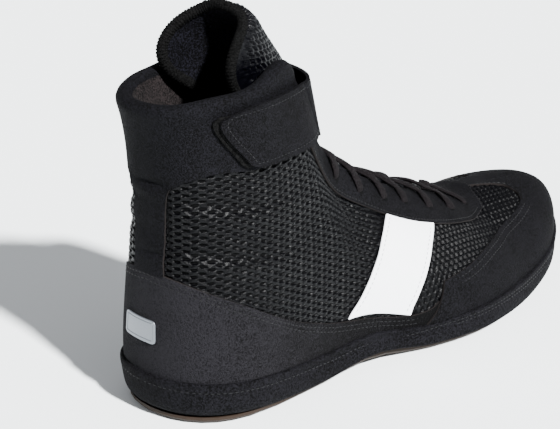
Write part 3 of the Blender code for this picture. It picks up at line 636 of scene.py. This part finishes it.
def sideChart(s, t):
    around = between((net["rear"], along(net["join"], t) + net["lap"]), s)
    low = edge("counter", around, -net["under"])
    high = between((edge("cuffLow", around, net["under"]), edge("stayLow", around, net["under"])),
                   smoothStep(around, *net["cuffToStay"]))
    return around, between((low, high), t)


def vampChart(s, t):
    around = between((along(net["join"], t) - net["lap"], net["front"]), s)
    behind = 1 - smoothStep(around, *net["behindCap"])
    low = edge("capTop", around, -net["under"]) - net["lowBehindCap"] * behind
    high = between((edge("stayLow", around, net["underStay"]), 1), smoothStep(around, *net["stayToRidge"]))
    return around, between((low, high), t)


def netPiece(name, side, grid, chart, lattice):
    def at(s, t):
        around, up = chart(s if side > 0 else 1 - s, t)
        return side * around, up

    bm = bmesh.new()
    mappedGrid(bm, *grid, *onChart(at, lambda around, up: netLift(*lattice(around, up, side))))
    return finishPiece(bm, name, [netThread], 0)


def sideLattice(around, up, side):
    return clothPlace(around, up)[:, 0], surface(around, up)[:, 2], *net["sideHole"]


def vampLattice(around, up, side):
    base = surface(around, up)
    return base[:, 0], -net["vampSlope"] * (side * base[:, 1] + base[:, 2]), *net["vampHole"]


for side, word in ((1, "lateral"), (-1, "medial")):
    netPiece("net_" + word, side, net["sideGrid"], sideChart, sideLattice)
    netPiece("net_vamp_" + word, side, net["vampGrid"], vampChart, vampLattice)
print("upper and net made")

# Overlays of suede and knit
overlay = {"seat": 0.0003, "thickness": 0.0013, "edge": 0.0004, "underRand": 0.02}


def overlayPiece(name, patches, material, replaced, thickness=overlay["thickness"],
                 bevel=overlay["edge"], weld=2e-5):
    bm = bmesh.new()
    for columns, rowCount, place, uvPlace in patches:
        mappedGrid(bm, columns, rowCount, place, uvPlace)
    piece = finishPiece(bm, name, [material, rawEdge], weld, replaced)
    return thicken(piece, thickness, bevel, 1 if material in (suede, litHeelSuede, knit) else None)


def straight(low, high):
    return lambda s, t: low + (high - low) * s


def edgeAt(name, margin=0.0):
    return lambda around: edge(name, around, margin)


def level(up):
    return lambda around: up + 0 * around


counter = {"grid": (170, 34), "ends": (6.00, 6.22)}


def counterPiece():
    def aroundAt(s, t):
        return between(counter["ends"], t) * (2 * s - 1)

    grid = patch(*counter["grid"], aroundAt, edgeAt("rand", -overlay["underRand"]), edgeAt("counter"),
                 overlay["seat"])
    return overlayPiece("counter_suede", [grid], litHeelSuede, ["counter"])


toeCap = {"grid": (240, 30), "blockGrid": (40, 26), "start": 5.74, "lean": 0.76, "curve": 0.85,
          "overCounter": 0.0009, "overSpan": (6.3, 7.0)}


def toeCapPiece():
    def aroundAt(s, t):
        start = toeCap["start"] + toeCap["lean"] * t ** toeCap["curve"]
        return start + (loop - 2 * start) * s

    def capLift(around, up):
        return overlay["seat"] + toeCap["overCounter"] * (1 - smoothStep(fold(around), *toeCap["overSpan"]))

    def blockAt(window, lead):
        # Between a mesh window's front and the toe's middle
        return lambda s, t: toe + (toe - along(edges[window], t)) * (s - lead)

    grids = [patch(*toeCap["grid"], aroundAt, edgeAt("rand", -overlay["underRand"]), edgeAt("capTop"),
                   capLift)]
    for window, lead in (("windowEnd", 1), ("windowEndMedial", 0)):
        grids.append(patch(*toeCap["blockGrid"], blockAt(window, lead), edgeAt("capTop"), level(1.0),
                           overlay["seat"]))
    return overlayPiece("toe_cap_suede", grids, suede, ["toe_cap"], weld=3e-4)


cuff = {"grid": (172, 30), "stripGrid": (24, 30), "end": 4.3, "top": 0.978, "strip": (0.49, 0.70)}


def cuffPiece():
    def stripAround(s, t):
        return (2 * s - 1) * along(edges["stripHalf"], between(cuff["strip"], t))

    ring = patch(*cuff["grid"], straight(-cuff["end"], cuff["end"]), edgeAt("cuffLow"), level(cuff["top"]),
                 overlay["seat"])
    low, high = (level(up) for up in cuff["strip"])
    strip = patch(*cuff["stripGrid"], stripAround, low, high, overlay["seat"])
    return overlayPiece("cuff_knit", [ring, strip], knit, ["cuff"], weld=3e-4)


stay = {"grid": (120, 24), "start": 4.40, "seat": 0.0008, "overCap": 0.0011, "overSpan": (9.5, 9.9)}


def stayLift(around, up=None):
    return stay["seat"] + stay["overCap"] * smoothStep(fold(around), *stay["overSpan"])


def stayPiece():
    def lateral(s, t):
        return between((stay["start"], along(edges["stayFront"], t)), s)

    def medial(s, t):
        return -lateral(1 - s, t)

    grids = [patch(*stay["grid"], way, edgeAt("stayLow"), level(1.0), stayLift) for way in (lateral, medial)]
    return overlayPiece("eyestay_suede", grids, suede, ["eyestay"], weld=3e-5)


bandShape = {
    "rear": ((0.14, 3.93), (0.18, 4.06), (0.23, 4.39), (0.292, 4.70), (0.385, 5.11), (0.487, 5.56),
             (0.595, 5.99), (0.728, 6.42), (0.79, 6.60)),
    "front": ((0.12, 5.48), (0.18, 5.62), (0.268, 5.91), (0.36, 6.23), (0.453, 6.53), (0.537, 6.78),
              (0.667, 7.17), (0.74, 7.36)),
    "low": (0.178, 0.142),
    "high": (0.775, 0.705),
    "grid": (28, 60), "seat": 0.0011, "thickness": 0.0009, "edge": 0.0003,
}


def bandChart(side, s, t):
    across = s if side > 0 else 1 - s
    up = between((between(bandShape["low"], across), between(bandShape["high"], across)), t)
    return side * between((along(bandShape["rear"], up), along(bandShape["front"], up)), across), up


def bandPiece(side, word):
    grid = (*bandShape["grid"], *onChart(lambda s, t: bandChart(side, s, t), bandShape["seat"]))
    return overlayPiece("saddle_band_" + word, [grid], white, ["band_" + word],
                        bandShape["thickness"], bandShape["edge"])


badge = {"around": (-0.60, 0.28), "up": (0.262, 0.345), "corner": (0.10, 0.013), "grid": (44, 14),
         "seat": 0.0016, "thickness": 0.0007, "edge": 0.0003,
         "lineIn": (0.84, 0.74), "lineSteps": (90, 16), "lineLift": 0.0023, "line": (0.0005, 0.0004)}


def badgePiece():
    (start, end), (low, high) = badge["around"], badge["up"]
    cornerAround, cornerUp = badge["corner"]

    def corner(around):
        near = np.minimum(around - start, end - around)
        share = np.clip((cornerAround - near) / cornerAround, 0, 1)
        return cornerUp * (1 - np.sqrt(1 - 0.999 * share ** 2))

    grid = patch(*badge["grid"], straight(start, end), lambda around: low + corner(around),
                 lambda around: high - corner(around), badge["seat"])
    overlayPiece("heel_plate", [grid], silver, ["heel_badge"],
                 badge["thickness"], badge["edge"])
    # A fine raised line inside its edge
    across, upright = (np.linspace(-0.5, 0.5, count) for count in badge["lineSteps"])
    shareAround = np.concatenate([across, 0 * upright + 0.5, -across, 0 * upright - 0.5])
    shareUp = np.concatenate([0 * across - 0.5, upright, 0 * across + 0.5, -upright])
    around = 0.5 * (start + end) + badge["lineIn"][0] * (end - start) * shareAround
    up = 0.5 * (low + high) + badge["lineIn"][1] * (high - low) * shareUp
    bm = bmesh.new()
    ribbon(bm, surface(around, up, badge["lineLift"]), ribNormal(around, up), *badge["line"])
    return finishPiece(bm, "heel_plate_line", [silver], 0)


counterPiece()
toeCapPiece()
cuffPiece()
stayPiece()
bandPiece(1, "lateral")
bandPiece(-1, "medial")
badgePiece()
print("overlays made")

# Rand: the suede wrap round the foot, from over the overlays down to the sole, rounded in at the heel
rand = {"wall": 0.0026, "belly": 0.0042, "under": 0.0038, "seat": 0.0004, "flange": 0.008,
        "heelSpan": (1.2, 3.4), "heelIn": (0.0019, 0.0030), "grid": (300, 36),
        "spots": (0, 0.06, 0.12, 0.45, 0.75, 0.92, 1.0), "pull": 0.6, "cloth": (0.7, 0.02)}


def makeRand():
    spots = np.array(rand["spots"])
    wall, belly, under = rand["wall"], rand["belly"], rand["under"]
    fall = last["soleStack"] - under

    def place(s, t):
        around = (1 - s) * loop
        top = edge("rand", around)
        heel = 1 - smoothStep(fold(around), *rand["heelSpan"])
        rings = np.stack([surface(around, top * 0.96, rand["seat"]),
                          surface(around, top, 0.5 * wall),
                          surface(around, top * 0.98, wall),
                          surface(around, top * 0.55, wall + 0.0004),
                          planRing(around, belly - rand["heelIn"][0] * heel, under + 0.6 * fall),
                          planRing(around, 0.5 * belly - rand["heelIn"][1] * heel, under + 0.1 * fall),
                          planRing(around, -rand["flange"], under)], 1)
        slopes = rand["pull"] * np.gradient(rings, spots, axis=1)
        start = np.clip(np.searchsorted(spots, t, side="right") - 1, 0, len(spots) - 2)
        here, there = (np.arange(len(s)), start), (np.arange(len(s)), start + 1)
        width = (spots[start + 1] - spots[start])[:, None]
        share = (t - spots[start])[:, None] / width
        return cubic(share, width, rings[here], rings[there], slopes[here], slopes[there])

    bm = bmesh.new()
    mappedGrid(bm, *rand["grid"], place, flatCloth(rand["cloth"]))
    return finishPiece(bm, "rand_suede", [randSuede], 2e-5, ["rand"])


makeRand()

# The sole and the footbed are the solids themselves, in their own looks
for name, material in (("outsole", gum), ("insole", footbed)):
    node = bpy.data.objects[name]
    node.data.materials.clear()
    node.data.materials.append(material)

# Tongue: free rows above the throat and rows under it, each across from the lateral side
tongue = {
    "under": (8.5, 8, 7.5, 7, 6.5, 6, 5.5, 5.1),
    "sides": (0.80, 0.87, 0.94, 1.0),
    "bridge": 3,
    "thickness": 0.0035,
    "bow": 0.0062,
    "clear": 0.0028,
    # frontX, frontZ, shift, halfWidth, wrap, fall, skew
    "free": (
        (0.293, 0.900, 0.008, 0.163, 0.115, 0.000, 0.000),
        (0.277, 1.000, 0.018, 0.184, 0.158, 0.000, 0.010),
        (0.254, 1.054, 0.020, 0.190, 0.147, -0.020, 0.016),
        (0.224, 1.115, 0.018, 0.180, 0.100, -0.020, 0.017),
        (0.198, 1.169, 0.015, 0.146, 0.052, -0.007, 0.018),
        (0.176, 1.207, 0.013, 0.100, 0.014, 0.003, 0.009),
        (0.164, 1.222, 0.010, 0.050, 0.004, 0.000, 0.003),
    ),
    "outerGrid": (460, 110), "innerGrid": (120, 40),
    "bareSides": (0.03, 0.07), "bareTip": (0.94, 0.97),
}


def tongueRows():
    sides = np.array(tongue["sides"])
    count = 2 * len(sides) + tongue["bridge"]
    found = []
    for around in tongue["under"]:
        depth = -tongue["clear"] - wallAt(around, sides) + upper["wall"]
        lateral, medial = surface(around, sides, depth), surface(-around, sides, depth)
        normal = ribNormal(np.float64(around), np.float64(1)) + ribNormal(np.float64(-around), np.float64(1))
        share = np.linspace(0, 1, tongue["bridge"] + 2)[1:-1, None]
        across = between((lateral[-1], medial[-1]), share)
        bowed = across + unitRows(normal) * tongue["bow"] * np.sin(math.pi * share)
        found.append(np.vstack([lateral, bowed, medial[::-1]]))
    for frontX, frontZ, shift, half, wrap, fall, skew in tongue["free"]:
        turn = np.linspace(-math.pi / 2, math.pi / 2, count)
        back = 1 - np.cos(turn)
        x = (frontX - wrap * back - skew * np.sin(turn)) * last["length"]
        y = (shift + half * np.sin(turn)) * last["ballWidth"]
        z = (frontZ - fall * back) * last["collarHeight"]
        found.append(np.column_stack([x, y, z]) + np.array(last["shift"]))
    return np.array(found)


def gridSpline(table, a, b):
    # A smooth surface through a table of points, at shares a along it and b across it
    def weights(count, place):
        place = np.clip(place, 0, 1) * (count - 1)
        start = np.clip(place.astype(int), 0, count - 2)
        t = place - start
        spots = [np.clip(start + step, 0, count - 1) for step in (-1, 0, 1, 2)]
        parts = [(-t + 2 * t ** 2 - t ** 3) / 2, (2 - 5 * t ** 2 + 3 * t ** 3) / 2,
                 (t + 4 * t ** 2 - 3 * t ** 3) / 2, (-t ** 2 + t ** 3) / 2]
        return spots, parts

    rowSpots, rowParts = weights(table.shape[0], np.asarray(a, float))
    columnSpots, columnParts = weights(table.shape[1], np.asarray(b, float))
    total = 0
    for rowSpot, rowPart in zip(rowSpots, rowParts):
        for columnSpot, columnPart in zip(columnSpots, columnParts):
            total = total + table[rowSpot, columnSpot] * (rowPart * columnPart)[:, None]
    return total


def sheetPoint(table, a, b, lift=0.0, step=2e-3):
    # A point of a table's surface, lifted off it, and its normal
    ways = [gridSpline(table, np.clip(a + over, 0, 1), np.clip(b + up, 0, 1))
            - gridSpline(table, np.clip(a - over, 0, 1), np.clip(b - up, 0, 1))
            for over, up in ((step, 0), (0, step))]
    normal = unitRows(np.cross(*ways))
    return gridSpline(table, a, b) + normal * np.asarray(lift, float)[..., None], normal


tongueTable = tongueRows()


def tonguePoint(a, b, lift=0.0):
    # a runs from the throat's front end to the tip, b from the lateral to the medial edge
    return sheetPoint(tongueTable, a, b, lift)


# 1 where the tongue's normals already point out of the shoe at its middle, or -1
tongueSide = 1.0 if tonguePoint(np.array([0.55]), np.array([0.5]))[1][0, 0] > 0 else -1.0
tongueShares = np.linspace(0, 1, 61)
tongueRun = runLength(tonguePoint(tongueShares, 0 * tongueShares + 0.5)[0])
tongueAcross = np.array([runLength(tonguePoint(0 * tongueShares + share, tongueShares)[0])[-1]
                         for share in tongueShares])


def tongueCloth(s, t):
    across = np.interp(s, tongueShares, tongueAcross)
    return np.stack([np.interp(s, tongueShares, tongueRun), (t - 0.5) * across], 1)


def makeTongue():
    def outer(s, t):
        # The mesh runs out into plain cloth under the overlocked edge
        shown = smoothStep(np.minimum(t, 1 - t), *tongue["bareSides"])
        shown = shown * (1 - smoothStep(s, *tongue["bareTip"]))
        lift = netLift(*tongueCloth(s, t).T, *net["sideHole"])
        return tonguePoint(s, t, tongueSide * lift * shown)[0]

    def inner(s, t):
        return tonguePoint(s, 1 - t, -tongueSide * tongue["thickness"] + 0 * s)[0]

    bm = bmesh.new()
    mappedGrid(bm, *tongue["outerGrid"], outer, tongueCloth, 0)
    mappedGrid(bm, *tongue["innerGrid"], inner, tongueCloth, 1)
    bmesh.ops.reverse_faces(bm, faces=bm.faces)
    return finishPiece(bm, "tongue_cloth", [tongueNet, tongueLining], 0, ["tongue"])


# Overlocked edge: a band of thread that wraps from the outer face round to the lining
overlocking = {
    "start": 0.42, "corner": 0.38, "inset": 0.985,
    "samples": 900, "stations": 500, "lineTurns": 90, "normalTurns": 220,
    "band": (0.00165, 0.00240), "pitch": 0.0015, "lean": 0.9,
    "swell": 0.0005, "ridge": 0.00018, "rough": 0.00026,
    "grid": (900, 24), "cloth": 0.012,
}


def edgePath(s):
    # The free edge of the tongue: lateral edge up, over the tip, medial edge down
    start, corner = overlocking["start"], overlocking["corner"]
    a = start + (1 - start) * np.minimum(np.minimum(s, 1 - s) / corner, 1)
    return a, np.clip((s - corner) / (1 - 2 * corner), 0, 1)


def relax(values):
    values[1:-1] = (values[:-2] + 2 * values[1:-1] + values[2:]) / 4


def makeOverlock():
    samples = np.linspace(0, 1, overlocking["samples"])
    a, b = edgePath(samples)
    line, normals = tonguePoint(a, 0.5 + (b - 0.5) * overlocking["inset"], 0 * samples)
    steps = runLength(line)
    length = steps[-1]
    travel = np.linspace(0, length, overlocking["stations"])
    line = resample(travel, steps, line)
    normals = resample(travel, steps, normals) * tongueSide
    for _ in range(overlocking["lineTurns"]):
        relax(line)
    for _ in range(overlocking["normalTurns"]):
        relax(normals)
    run = unitRows(np.gradient(line, axis=0))
    normals = unitRows(normals - run * np.sum(normals * run, axis=1, keepdims=True))
    way = np.cross(run, normals)
    middle = len(line) // 2
    if np.dot(way[middle], line[middle] - line[0]) < 0:
        way = -way
    half = 0.5 * tongue["thickness"]
    outerBand, innerBand = overlocking["band"]

    def place(s, t):
        spots = s * length
        core, out, up = (resample(spots, travel, values) for values in (line, way, normals))
        ridge = np.cos(2 * math.pi * (spots / overlocking["pitch"] + overlocking["lean"] * t))
        rough = np.sin(spots * 5100 + 9 * np.sin(t * 7)) * np.sin(spots * 3300 + t * 23)
        swell = overlocking["swell"] + overlocking["ridge"] * ridge + overlocking["rough"] * rough
        # A flat run on the outer face, a half turn, and a longer flat run on the lining
        spot = t * 3
        turn = math.pi * (np.clip(spot - 1, 0, 1) - 0.5)
        radius = half + swell
        flat = np.where(spot < 1, 1 - spot, np.where(spot > 2, spot - 2, 0))
        x = radius * np.cos(turn) - flat * np.where(spot < 1, outerBand, innerBand)
        y = -radius * np.sin(turn) * (1 - flat ** 4 * swell / radius * 1.4)
        return core - up * half + out * x[:, None] + up * y[:, None]

    bm = bmesh.new()
    mappedGrid(bm, *overlocking["grid"], place, flatCloth((length, overlocking["cloth"])))
    return finishPiece(bm, "tongue_overlock", [overlock], 0)


makeTongue()
makeOverlock()
print("tongue made")

# Strap over the front of the collar, from its lateral tip to its medial seam
strap = {
    "heights": (0.785, 0.982),
    "tip": ((0.0, 2.78), (0.03, 2.66), (0.08, 2.575), (0.18, 2.49), (0.31, 2.38), (0.43, 2.26),
            (0.56, 2.14), (0.67, 2.045), (0.77, 1.985), (0.83, 1.985), (0.885, 2.07), (0.93, 2.28),
            (0.965, 2.52), (1.0, 2.80)),
    "leaves": (4.95, 4.15),
    "reaches": (0.025, 0.062),
    "dips": (0.012, -0.004),
    "seam": 2.4,
    "thickness": 0.0016,
    "bevel": 0.0005,
    "lift": 0.0034,
    "rows": 17, "lateralStations": 24, "frontStations": 22, "medialStations": 20,
    "grid": (200, 34), "cloth": (0.175, 0.03),
}
strapPad = {"shows": 0.13, "front": 3.6, "span": (0.02, 0.90), "lift": 0.0021, "thickness": 0.0010,
            "bevel": 0.0003, "grid": (50, 26), "cloth": (0.06, 0.03)}


def upAtHeight(around, height):
    # The share up the rib at a height, found by halving
    low, high = np.zeros_like(around), np.ones_like(around)
    for _ in range(18):
        middle = (low + high) / 2
        over = ribPoint(around, middle)[..., 2] > height
        low, high = np.where(over, low, middle), np.where(over, middle, high)
    return low


def strapTable():
    share = np.linspace(0, 1, strap["rows"])
    height = last["collarHeight"] * between(strap["heights"], share)
    tip = along(strap["tip"], share)
    leave = between(strap["leaves"], share)
    reach = last["length"] * between(strap["reaches"], share)
    dip = last["length"] * between(strap["dips"], share)

    def side(start, end, number, sign):
        return [surface(sign * around, upAtHeight(around, height), strap["lift"])
                for around in (between((start, end), part) for part in np.linspace(0, 1, number))]

    lateral = side(tip, leave, strap["lateralStations"], 1)
    medial = side(leave, np.full(strap["rows"], strap["seam"]), strap["medialStations"], -1)
    pull = np.column_stack([reach, 0 * reach, -dip])
    front = []
    for part in np.linspace(0, 1, strap["frontStations"])[1:-1]:
        rest = 1 - part
        front.append(rest ** 3 * lateral[-1] + 3 * rest * rest * part * (lateral[-1] + pull)
                     + 3 * rest * part * part * (medial[0] + pull) + part ** 3 * medial[0])
    return np.array(lateral + front + medial)


strapPlaces = strapTable()


def makeStrap():
    bm = bmesh.new()
    mappedGrid(bm, *strap["grid"], lambda s, t: sheetPoint(strapPlaces, s, t)[0], flatCloth(strap["cloth"]))
    piece = finishPiece(bm, "strap_knit", [strapKnit, rawEdge], 0, ["strap"])
    thicken(piece, strap["thickness"], strap["bevel"])

    def padPlace(s, t):
        share = between(strapPad["span"], t)
        height = last["collarHeight"] * between(strap["heights"], share)
        around = between((along(strap["tip"], share) - strapPad["shows"], strapPad["front"]), s)
        return surface(around, upAtHeight(around, height), strapPad["lift"])

    bm = bmesh.new()
    mappedGrid(bm, *strapPad["grid"], padPlace, flatCloth(strapPad["cloth"]))
    pad = finishPiece(bm, "strap_pad_loop", [pile, rawEdge], 0, ["strap_pad"])
    return thicken(pad, strapPad["thickness"], strapPad["bevel"])


makeStrap()
print("strap made")

# Laces: flat braid, out of each eyelet, over the throat's edge and under the other side
lace = {
    # around, up and lean of each lateral eyelet, from the collar to the toe
    "eyelets": ((5.70, 0.900, 0.00), (6.24, 0.878, 0.00), (6.69, 0.865, 0.03), (7.07, 0.853, 0.08),
                (7.51, 0.812, 0.18), (8.03, 0.782, 0.32), (8.80, 0.780, -0.05)),
    "width": 0.0056, "thickness": 0.0016, "columns": 60, "rise": 0.0034, "apart": 0.0014,
    # The face of the eyestay, and how far a lace's way under the flaps starts and ends off the outer face
    "top": 0.0021, "starts": -0.0026, "ends": -0.0028,
    "hole": 0.0019, "holeLift": 0.00225, "holeBelow": 0.008,
}


def smoothPath(points, count):
    steps = np.concatenate([[0], np.cumsum(np.linalg.norm(np.diff(points, axis=0), axis=1) ** 0.5)])
    travel = np.linspace(0, steps[-1], count)
    return np.column_stack([along(tuple(zip(steps, points[:, axis])), travel) for axis in range(3)])


def lacePath(number, side, order):
    # Out of an eyelet, up its own flap, over the throat and under the other flap
    around, up, lean = lace["eyelets"][number]
    half, top = 0.5 * lace["thickness"], lace["top"]

    def spot(place, height, lift):
        place, height = np.float64(side * place), np.float64(height)
        return surface(place, height, lift), ribNormal(place, np.minimum(height, 0.99))

    centre = around + 0.5 * lean - 0.22
    normal = unitRows(sum(ribNormal(np.float64(way * centre), np.float64(0.98)) for way in (1, -1)))
    middle = (surface(centre, 1.0) + surface(-centre, 1.0)) / 2
    middle = middle + normal * (lace["rise"] + order * lace["apart"])
    spots = [
        spot(around - 0.01, up - 0.030, lace["starts"]),
        spot(around, up - 0.004, top - 0.2 * half),
        spot(around + 0.4 * lean, up + 0.30 * (1 - up), top + 1.4 * half),
        spot(around + lean, up + 0.72 * (1 - up), top + 1.4 * half),
        spot(around + 0.7 * lean - 0.05, 1.0, top + 1.9 * half),
        (middle, normal),
        spot(-(around + 0.3 * lean - 0.40), 1.0, 0.0006),
        spot(-(around + 0.3 * lean - 0.46), 0.965, lace["ends"]),
    ]
    places, facing = (np.array(found) for found in zip(*spots))
    count = lace["columns"] + 1
    shares = np.linspace(0, len(spots) - 1, count)
    normals = np.column_stack([along(tuple(enumerate(facing[:, axis])), shares) for axis in range(3)])
    return smoothPath(places, count), normals


def makeLaces():
    crossings = ["lace_cross_%d" % number for number in range(1, 7)]
    # The lateral lace stands for the solids' crossings and bar, which span both sides
    for side, word, nodes in ((1, "lateral", [*crossings, "lace_bar"]), (-1, "medial", [])):
        bm = bmesh.new()
        for number in range(len(lace["eyelets"])):
            points, normals = lacePath(number, side, (number + (side < 0)) % 2)
            ribbon(bm, points, normals, lace["width"], lace["thickness"])
        bmesh.ops.holes_fill(bm, edges=bm.edges, sides=0)
        bmesh.ops.recalc_face_normals(bm, faces=bm.faces)
        finishPiece(bm, "lace_" + word, [laceCloth], 1e-6, nodes)

    # The punched holes, as flat dark rounds on the suede: the dark backing under each hole, and painted shade
    # of its hollow and of the lace's shadow where it comes out
    bm = bmesh.new()
    for side in (1, -1):
        for around, up, _ in lace["eyelets"]:
            place, height = np.float64(side * around), np.float64(up - lace["holeBelow"])
            turn = Vector(ribNormal(place, height)).to_track_quat("Z", "Y").to_matrix().to_4x4()
            centre = Matrix.Translation(surface(place, height, lace["holeLift"]))
            bmesh.ops.create_circle(bm, cap_ends=True, segments=18, radius=lace["hole"],
                                    matrix=centre @ turn)
    finishPiece(bm, "eyelet_holes", [backing], 0)


makeLaces()
print("laces made")

# Stitches: short threads along lines of the chart, sunk a little into the cloth
stitch = {
    # pitch, length, width
    "plain": (0.0027, 0.0019, 0.00055),
    "short": (0.0022, 0.0016, 0.00055),
    "band": (0.0024, 0.0017, 0.00045),
    "strap": (0.0023, 0.0016, 0.00045),
    "height": 0.00040, "batch": 32,
}
seams = {
    # Where each line starts and ends and its number of points, then its distances in from an edge
    "counter": ((-5.7, 5.7, 500), (-0.0022, -0.0046)),
    "capTop": ((6.5, 10.25, 240), (-0.0024, -0.0056)),
    "stayLow": ((4.5, 9.0, 300), (0.0022,)),
    "stayFront": ((0.02, 0.98, 60), -0.10),
    "windowEnd": ((0.05, 0.92, 60), 0.10),
    "band": ((0.03, 0.93, 160), (0.075, 0.925)),
    "rand": ((0, loop, 1200), (-0.0042, -0.0018), (5.0, 6.2)),
    "randFront": ((6.4, loop - 6.4, 700), (-0.0036,)),
    "strap": {"inset": 0.085, "rear": (0.022, 20), "run": (0.97, 200)},
    "randLift": 0.0005,
}


def stitchRun(bm, points, normals, kind="plain"):
    pitch, length, width = stitch[kind]
    steps = runLength(points)
    spots = (np.arange(int(steps[-1] / pitch)) + 0.5) * pitch
    here, there = resample(spots, steps, points), resample(spots + 0.3 * pitch, steps, points)
    facing = resample(spots, steps, normals)
    size = Matrix.Diagonal((length, width, stitch["height"], 1))
    # Made in batches, as a growing mesh slows each next thread down
    batch, mesh = bmesh.new(), bpy.data.meshes.new("batch")
    for number in range(len(spots)):
        normal = Vector(facing[number]).normalized()
        way = Vector(there[number] - here[number])
        way = (way - normal * way.dot(normal)).normalized()
        turn = Matrix((way, normal.cross(way), normal)).transposed().to_4x4()
        bmesh.ops.create_uvsphere(batch, u_segments=6, v_segments=4, radius=0.5,
                                  matrix=Matrix.Translation(here[number]) @ turn @ size)
        if number % stitch["batch"] == stitch["batch"] - 1 or number == len(spots) - 1:
            batch.to_mesh(mesh)
            bm.from_mesh(mesh)
            batch.clear()
    batch.free()
    bpy.data.meshes.remove(mesh)


def chartRun(bm, around, up, lift, kind="plain"):
    around, up = np.broadcast_arrays(around, up)
    stitchRun(bm, surface(around, up, lift + creaseLift(around, up)), ribNormal(around, up), kind)


def edgeRun(bm, name, around, inset, lift, kind="plain"):
    # Along an overlay's edge, a distance up from it or, below nought, down from it
    up = edge(name, around)
    probe = np.clip(up, 0, 0.98)
    reach = np.linalg.norm(surface(around, probe + 0.01) - surface(around, probe), axis=-1)
    chartRun(bm, around, np.maximum(up + 0.01 * inset / reach, 0.006), lift, kind)


def frontRun(bm, side, front, seam, name, lift, kind="plain"):
    # Across the shoe from an edge to the ridge, beside a front line
    span, gap = seams[seam]
    share = np.linspace(*span)
    around = along(edges[front], share) + gap
    chartRun(bm, side * around, between((edge(name, around), 1), share), lift(around), kind)


def makeStitches():
    top, stayTop = (seat + overlay["thickness"] for seat in (overlay["seat"], stay["seat"]))
    bm = bmesh.new()
    span, insets = seams["counter"]
    for inset in insets:
        edgeRun(bm, "counter", np.linspace(*span), inset, top)
    for side, window in ((1, "windowEnd"), (-1, "windowEndMedial")):
        for name, lift, kind in (("capTop", top, "plain"), ("stayLow", stayTop, "short")):
            span, insets = seams[name]
            for inset in insets:
                edgeRun(bm, name, side * np.linspace(*span), inset, lift, kind)
        frontRun(bm, side, "stayFront", "stayFront", "stayLow",
                 lambda around: stayLift(around) + overlay["thickness"], "short")
        frontRun(bm, side, window, "windowEnd", "capTop", lambda around: top)
    finishPiece(bm, "stitches_suede", [thread], 0)

    bm = bmesh.new()
    span, insets = seams["band"]
    share = np.linspace(*span)
    for side in (1, -1):
        for across in insets:
            places = bandChart(side, across + 0 * share, share)
            chartRun(bm, *places, bandShape["seat"] + bandShape["thickness"], "band")
    finishPiece(bm, "stitches_band", [shadedWhiteThread], 0)

    # The rand's line runs nearer its top round the forefoot, where a second one joins it
    bm = bmesh.new()
    lift = rand["wall"] + seams["randLift"]
    span, insets, forefoot = seams["rand"]
    around = np.linspace(*span)
    edgeRun(bm, "rand", around, between(insets, smoothStep(fold(around), *forefoot)), lift)
    span, insets = seams["randFront"]
    edgeRun(bm, "rand", np.linspace(*span), insets[0], lift)
    finishPiece(bm, "stitches_rand", [thread], 0)

    bm = bmesh.new()
    inset, (rear, riseSteps), (seam, runSteps) = seams["strap"].values()
    run, rise = np.linspace(rear, seam, runSteps), np.linspace(1 - inset, inset, riseSteps)
    a = np.concatenate([0 * rise + rear, run, run[::-1]])
    b = np.concatenate([rise, 0 * run + inset, 0 * run + 1 - inset])
    stitchRun(bm, *sheetPoint(strapPlaces, a, b, strap["thickness"] + 0 * a), "strap")
    finishPiece(bm, "stitches_strap", [thread], 0)


makeStitches()
print("stitches made")

# The stage: angles in degrees, camera offsets in the photo's pixels
stage = {
    "floor": 6.0, "paint": (0.872, 0.912, 0.92),
    "sky": (0.96, 0.965, 1.0, 1), "skyStrength": 0.55,
    "sun": (-11, 41), "sunAngle": 4.0, "sunStrength": 20.0,
    "centre": (0.140, 0.0, 0.070), "distance": 0.955,
    "camera": (-49.2, 20.4), "roll": 2.1,
    "photo": (560, 429), "middle": (360, 192), "pixelsPerMetre": 2085,
}


def direction(azimuth, elevation):
    azimuth, elevation = math.radians(azimuth), math.radians(elevation)
    return np.array([math.sin(azimuth) * math.cos(elevation),
                     -math.cos(azimuth) * math.cos(elevation), math.sin(elevation)])


def makeStage():
    bm = bmesh.new()
    bmesh.ops.create_grid(bm, x_segments=1, y_segments=1, size=stage["floor"])
    mesh = bpy.data.meshes.new("floor")
    bm.to_mesh(mesh)
    bm.free()
    mesh.materials.append(plainLook("floor paint", stage["paint"], 0.95))
    addObject("floor", mesh)
    world = bpy.data.worlds.new("studio")
    world.use_nodes = True
    sky = world.node_tree.nodes["Background"].inputs
    sky["Color"].default_value = stage["sky"]
    sky["Strength"].default_value = stage["skyStrength"]
    bpy.context.scene.world = world


def makeSun():
    data = bpy.data.lights.new("key", "SUN")
    data.energy = stage["sunStrength"]
    data.angle = math.radians(stage["sunAngle"])
    toward = Vector(direction(*stage["sun"]))
    turn = (-toward).to_track_quat("-Z", "Y").to_matrix().to_4x4()
    addObject("key", data).matrix_world = Matrix.Translation(toward * 2) @ turn


def makeCamera():
    roll = math.radians(stage["roll"])
    back = direction(*stage["camera"])
    right = unitRows(np.cross(-back, [0, 0, 1.0]))
    upward = np.cross(right, -back)
    right, upward = (math.cos(roll) * right + math.sin(roll) * upward,
                     math.cos(roll) * upward - math.sin(roll) * right)
    eye = np.array(stage["centre"]) + back * stage["distance"] + np.array(last["shift"])
    wide, tall = stage["photo"]
    data = bpy.data.cameras.new("camera")
    data.sensor_width = 36
    data.sensor_fit = "HORIZONTAL"
    data.lens = stage["pixelsPerMetre"] * stage["distance"] / wide * data.sensor_width
    data.shift_x = (wide / 2 - stage["middle"][0]) / wide
    data.shift_y = (stage["middle"][1] - tall / 2) / wide
    item = addObject("camera", data)
    axes = np.column_stack([right, upward, back, eye])
    item.matrix_world = Matrix([*axes.tolist(), [0, 0, 0, 1]])
    bpy.context.scene.camera = item


makeStage()
makeCamera()
makeSun()
print("stage made")
